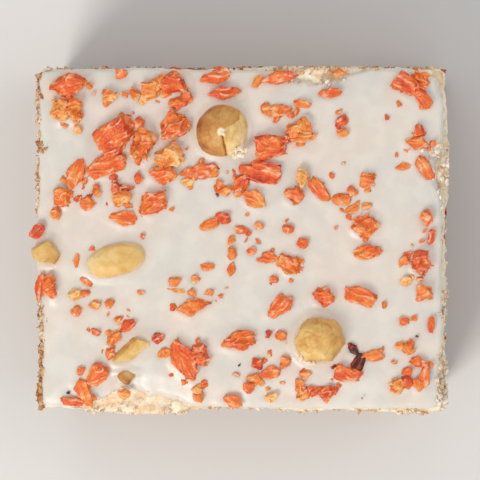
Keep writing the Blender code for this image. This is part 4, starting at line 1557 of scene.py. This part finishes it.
def carrot_material(grain):
    """Carrot: its tone runs from pale to red, with painted highlights glinting on its ribs and painted shade
    in its creases.
    """
    material, tree, shader = new_material("carrot_look")
    place = place_of_surface(tree)
    mask, height = fine_grain(tree, grain, 0.4 * MM)
    broad = patches(tree, place, 2.6 * MM, 3, 0.3, 0.7, -0.16, 0.16)
    fine = patches(tree, place, 0.7 * MM, 3, 0.3, 0.7, -0.08, 0.08)
    wander = combined(tree, "ADD", broad, fine)
    tone = combined(tree, "ADD", point_value(tree, "tone"), wander)
    ridge_light_and_shade = point_value(tree, "ridge_light_and_shade")
    colour = ramp_colour(tree, tone, CARROT_RAMP)
    # Painted shade: creases darker where the ridge value is low.
    colour = blended(tree, between(tree, ridge_light_and_shade, 0.0, 0.22, 0.4, 0.0), colour, CARROT_CREASE_SHADE)
    # Painted highlight: pale glints on the ribs, in patches, none on dark skin.
    glint_patches = patches(tree, place, 1.0 * MM, 4, 0.4, 0.62, 0.1, 1.0)
    pale = combined(tree, "MULTIPLY", between(tree, ridge_light_and_shade, 0.32, 0.85, 0.0, 1.0), glint_patches)
    below_skin = between(tree, point_value(tree, "tone"), 0.8, 0.95, 0.75, 0.0)
    colour = blended(tree, combined(tree, "MULTIPLY", pale, below_skin), colour, CARROT_PAINTED_HIGHLIGHT)
    roughness = between(tree, mask, 0, 1, 0.34, 0.55)
    give_surface(tree, shader, colour, roughness, bumped(tree, height, 0.5, 0.2 * MM))
    let_light_in(shader, *CARROT_DEPTH)
    return material


def nut_material(grain):
    """Hazelnut: white crumble, pale flesh, golden skin and brown skin along one tone, finely wrinkled."""
    material, tree, shader = new_material("hazelnut_look")
    place = place_of_surface(tree)
    mask, height = fine_grain(tree, grain, 0.5 * MM)
    wander = patches(tree, place, 1.8 * MM, 4, 0.3, 0.7, -0.07, 0.07)
    tone = combined(tree, "ADD", point_value(tree, "tone"), wander)
    colour = ramp_colour(tree, tone, NUT_RAMP)
    colour = blended(tree, point_value(tree, "coat"), colour, GLAZE_WARM)
    roughness = between(tree, mask, 0, 1, 0.45, 0.62)
    give_surface(tree, shader, colour, roughness, bumped(tree, height, 0.3, 0.2 * MM))
    let_light_in(shader, *NUT_DEPTH)
    return material


def loose_crumb_material(grain):
    """Loose crumbs: cream, tan, golden and brown along one tone."""
    material, tree, shader = new_material("loose_crumb_look")
    place = place_of_surface(tree)
    mask, height = fine_grain(tree, grain, 0.4 * MM)
    wander = patches(tree, place, 1.1 * MM, 4, 0.3, 0.7, -0.12, 0.12)
    colour = ramp_colour(tree, combined(tree, "ADD", point_value(tree, "tone"), wander), CRUMB_RAMP)
    roughness = between(tree, mask, 0, 1, 0.6, 0.9)
    give_surface(tree, shader, colour, roughness, bumped(tree, height, 0.6, 0.25 * MM))
    return material


def rough_copy(prototype, seed, size, lump, centre, turn, tone):
    """A copy of a crumb, grain or shred at this size, knocked out of round, turned and set at its centre."""
    piece = linked_copy(prototype)
    shift = Vector((seed * 5.11, seed * 2.93, seed * 1.37))
    points, ridge_lights_and_shades = [], []
    for vert in piece.data.vertices:
        knock = fractal(vert.co * KNOCK_SIZE + shift, 3)
        points.append(vert.co * (1 + lump * knock) * size)
        # Random amounts of the carrot's painted highlight and crease shade, for the shreds.
        ridge_lights_and_shades.append(0.2 + 0.5 * knock)
    set_points(piece, points)
    piece.data.transform(Matrix.Translation(centre) @ turn)
    give_values(piece, "tone", [tone] * len(points))
    give_values(piece, "ridge_light_and_shade", ridge_lights_and_shades)
    return piece


def surface_of(pieces):
    """The pieces' surfaces as one, for finding the nearest point."""
    corners, faces = [], []
    for piece in pieces:
        first = len(corners)
        corners += [vert.co.copy() for vert in piece.data.vertices]
        faces += [[first + corner for corner in face.vertices] for face in piece.data.polygons]
    return BVHTree.FromPolygons(corners, faces)


def build_edge_crumbs(material, prototypes, layers):
    """Crumbs that cling to the cut edges where the knife dragged them, each pressed a little into a layer."""
    draw = random.Random(SEED_OF_CRUMBS)
    surface = surface_of(layers)
    pieces = []
    for start, end, heights, clumps, crumbs, sizes, tones in CRUMB_EDGES:
        for _ in range(clumps):
            middle = Vector((*start, 0)).lerp(Vector((*end, 0)), draw.random())
            middle.z = draw.uniform(*heights)
            tone = draw.uniform(*tones)
            for _ in range(crumbs):
                away = Vector([draw.gauss(0, CLUMP_REACH) for _ in range(3)])
                point, normal = surface.find_nearest((middle + away) * MM)[:2]
                length = (sizes[0] + (sizes[1] - sizes[0]) * draw.random() ** 3) * MM
                size = Vector((length, length * draw.uniform(0.4, 0.9), length * draw.uniform(0.4, 0.8)))
                turn = Matrix.Rotation(draw.uniform(0, math.pi), 4, Vector((draw.random(), draw.random(), 1)))
                centre = point + normal * draw.uniform(-0.1, 0.3) * size.z
                prototype = prototypes[len(pieces) % len(prototypes)]
                shade = tone + draw.uniform(-TONE_SPREAD, TONE_SPREAD)
                number = len(pieces) + 1
                pieces.append(rough_copy(prototype, number, size, CRUMB_LUMP, centre, turn, shade))
    piece = joined(pieces, "edge_crumbs")
    set_points(piece, kept_in_box(points_of(piece)))
    return finished(piece, material, "sponge")


def shred_prototype(draw):
    """A shred of carrot: a wavy strip."""
    piece = slab_start("shred_start", 8, 1)
    shift = Vector((draw.uniform(0, 90), 0, 0))
    for vert in piece.data.vertices:
        wave = noise.noise_vector(Vector((2.2 * vert.co.x, 0, 0)) + shift)
        vert.co += Vector((0.1 * wave.x, 1.3 * wave.y, 0.6 * wave.z))
    fit_to_unit(piece)
    return piece


def build_baked_in(prototypes, name, count, sizes, tones, seed):
    """Bits baked into the sponge that show in its cut faces, each lying flush with the crumb round it."""
    draw = random.Random(seed)
    half_x, half_y = SLICE_LENGTH / 2 - SPONGE_INSET, SLICE_WIDTH / 2 - SPONGE_INSET
    walls = ((0, -1, half_x, half_y), (1, 0, half_y, half_x), (0, 1, half_x, half_y), (-1, 0, half_y, half_x))
    lengths = [wall[2] for wall in walls]
    pieces = []
    for _ in range(count):
        out_x, out_y, reach, off = draw.choices(walls, weights=lengths)[0]
        along = draw.uniform(-WALL_SHARE, WALL_SHARE) * reach
        out = Vector((out_x, out_y, 0))
        surface = out * off + Vector((-out_y, out_x, 0)) * along
        surface.z = draw.uniform(WALL_FOOT, SPONGE_HEIGHT - WALL_TOP)
        length = draw.uniform(*sizes[0]) * MM
        width = draw.uniform(*sizes[1]) * MM
        size = Vector((length, width, width))
        sunk = CRAG_SHARE * crag_depth(surface) + BAKED_IN_PORE_SHARE * pore_depth(surface)
        centre = surface - out * (sunk + draw.uniform(*BAKED_IN_DEPTHS) * width)
        tilt = Matrix.Rotation(draw.uniform(-MOST_TILT, MOST_TILT), 4, out)
        facing = Matrix.Rotation(math.atan2(out_x, -out_y), 4, "Z")
        tone = draw.uniform(*tones)
        prototype = prototypes[len(pieces) % len(prototypes)]
        number = len(pieces) + seed
        pieces.append(rough_copy(prototype, number, size, BIT_LUMP, centre, tilt @ facing, tone))
    piece = joined(pieces, name)
    set_points(piece, kept_in_box(points_of(piece)))
    return piece


def build_crumble(material, prototype):
    """Pale crumble that clings to the kernels."""
    pieces = []
    for index, (x, y, z, length, tone) in enumerate(NUT_CRUMBLE):
        centre = Vector((x * MM, y * MM, GLAZE_TOP + z * MM))
        size = Vector((length, 0.8 * length, 0.6 * length)) * MM
        turn = Matrix.Rotation(index * 1.9, 4, "Z")
        pieces.append(rough_copy(prototype, index + CRUMBLE_SEED, size, CRUMBLE_LUMP, centre, turn, tone))
    piece = joined(pieces, "nut_crumble")
    set_points(piece, kept_in_box(points_of(piece)))
    give_values(piece, "coat", [0.0] * len(piece.data.vertices))
    return finished(piece, material, "hazelnut_back")


def build_specks(material, prototype):
    """Tiny dark and pale specks on the glaze."""
    pieces = []
    for index, (x, y, length, tone) in enumerate(SPECKS):
        centre = Vector((x * MM, y * MM, GLAZE_TOP + SPECK_LIFT))
        size = Vector((length, 0.7 * length, 0.5 * length)) * MM
        turn = Matrix.Rotation(index * 1.3, 4, "Z")
        pieces.append(rough_copy(prototype, index + SPECK_SEED, size, CRUMB_LUMP, centre, turn, tone))
    piece = joined(pieces, "specks")
    return finished(piece, material, "glaze")


def build_stage():
    """A plain pale floor."""
    bpy.ops.mesh.primitive_plane_add(size=FLOOR_SIZE, location=(0, 0, 0))
    floor = added_piece("floor")
    material, _, shader = new_material("floor_look")
    shader.inputs["Base Color"].default_value = FLOOR_COLOUR
    shader.inputs["Roughness"].default_value = FLOOR_ROUGHNESS
    floor.data.materials.append(material)
    floor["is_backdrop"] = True


def add_softbox(name, place, size, power, colour):
    """A square area light that looks at the slice."""
    light = bpy.data.lights.new(name, "AREA")
    light.size = size
    light.energy = power
    light.color = colour
    lamp = bpy.data.objects.new(name, light)
    lamp.location = place
    aim = Vector((0, 0, SPONGE_HEIGHT)) - Vector(place)
    lamp.rotation_euler = aim.to_track_quat("-Z", "Y").to_euler()
    bpy.context.scene.collection.objects.link(lamp)


def build_lights():
    world = bpy.data.worlds.new("studio")
    world.use_nodes = True
    sky = world.node_tree.nodes["Background"]
    sky.inputs["Color"].default_value = SKY_COLOUR
    sky.inputs["Strength"].default_value = SKY_STRENGTH
    bpy.context.scene.world = world
    for softbox in SOFTBOXES:
        add_softbox(*softbox)


def build_camera():
    """A camera almost straight above, from the photograph's side."""
    data = bpy.data.cameras.new("camera")
    data.lens = CAMERA_LENS
    camera = bpy.data.objects.new("camera", data)
    back = (Vector(CAMERA_PLACE) - Vector(CAMERA_AIM)).normalized()
    right = Vector((0, 1, 0)).cross(back).normalized()
    turned = Matrix((right, back.cross(right), back)).transposed()
    camera.matrix_world = Matrix.Translation(CAMERA_PLACE) @ turned.to_4x4()
    bpy.context.scene.collection.objects.link(camera)
    bpy.context.scene.camera = camera


def build_slice():
    grain = fine_grain_group()
    carrot = carrot_material(grain)
    nut = nut_material(grain)
    crumb = loose_crumb_material(grain)
    layers = (
        build_sponge(sponge_material(grain)),
        build_cream(cream_material(grain)),
        build_glaze(glaze_material()),
    )
    build_carrots(carrot)
    skin_kernel(nut)
    for name, seed, depth, tone, spread, coat in PLAIN_KERNELS:
        plain_kernel(nut, name, seed, depth, tone, spread, coat)
    draw = random.Random(SEED_OF_CRUMBS)
    crumbs = [crumb_prototype(draw) for _ in range(CRUMB_VARIANTS)]
    grain_start = grain_prototype(draw)
    build_edge_crumbs(crumb, crumbs, layers)
    build_crumble(nut, grain_start)
    build_specks(crumb, grain_start)
    strips = [shred_prototype(draw) for _ in range(CARROT_VARIANTS)]
    shreds = build_baked_in(
        strips, "baked_in_shreds", SHRED_COUNT, SHRED_SIZES, SHRED_TONES, SEED_OF_SHREDS
    )
    finished(shreds, carrot, "sponge")
    bits = build_baked_in(
        [grain_start], "baked_in_nuts", NUT_BIT_COUNT, NUT_BIT_SIZES, NUT_BIT_TONES, SEED_OF_NUT_BITS
    )
    finished(bits, nut, "sponge")
    for prototype in (grain_start, *crumbs, *strips):
        bpy.data.objects.remove(prototype)


noise.seed_set(SEED_OF_NOISE)
build_slice()
build_stage()
build_lights()
build_camera()

bpy.context.scene.view_settings.view_transform = "Standard"
sizes = {"cad": frame_box, "visual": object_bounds()}
sizes = {name: [list(corner) for corner in box] for name, box in sizes.items()}
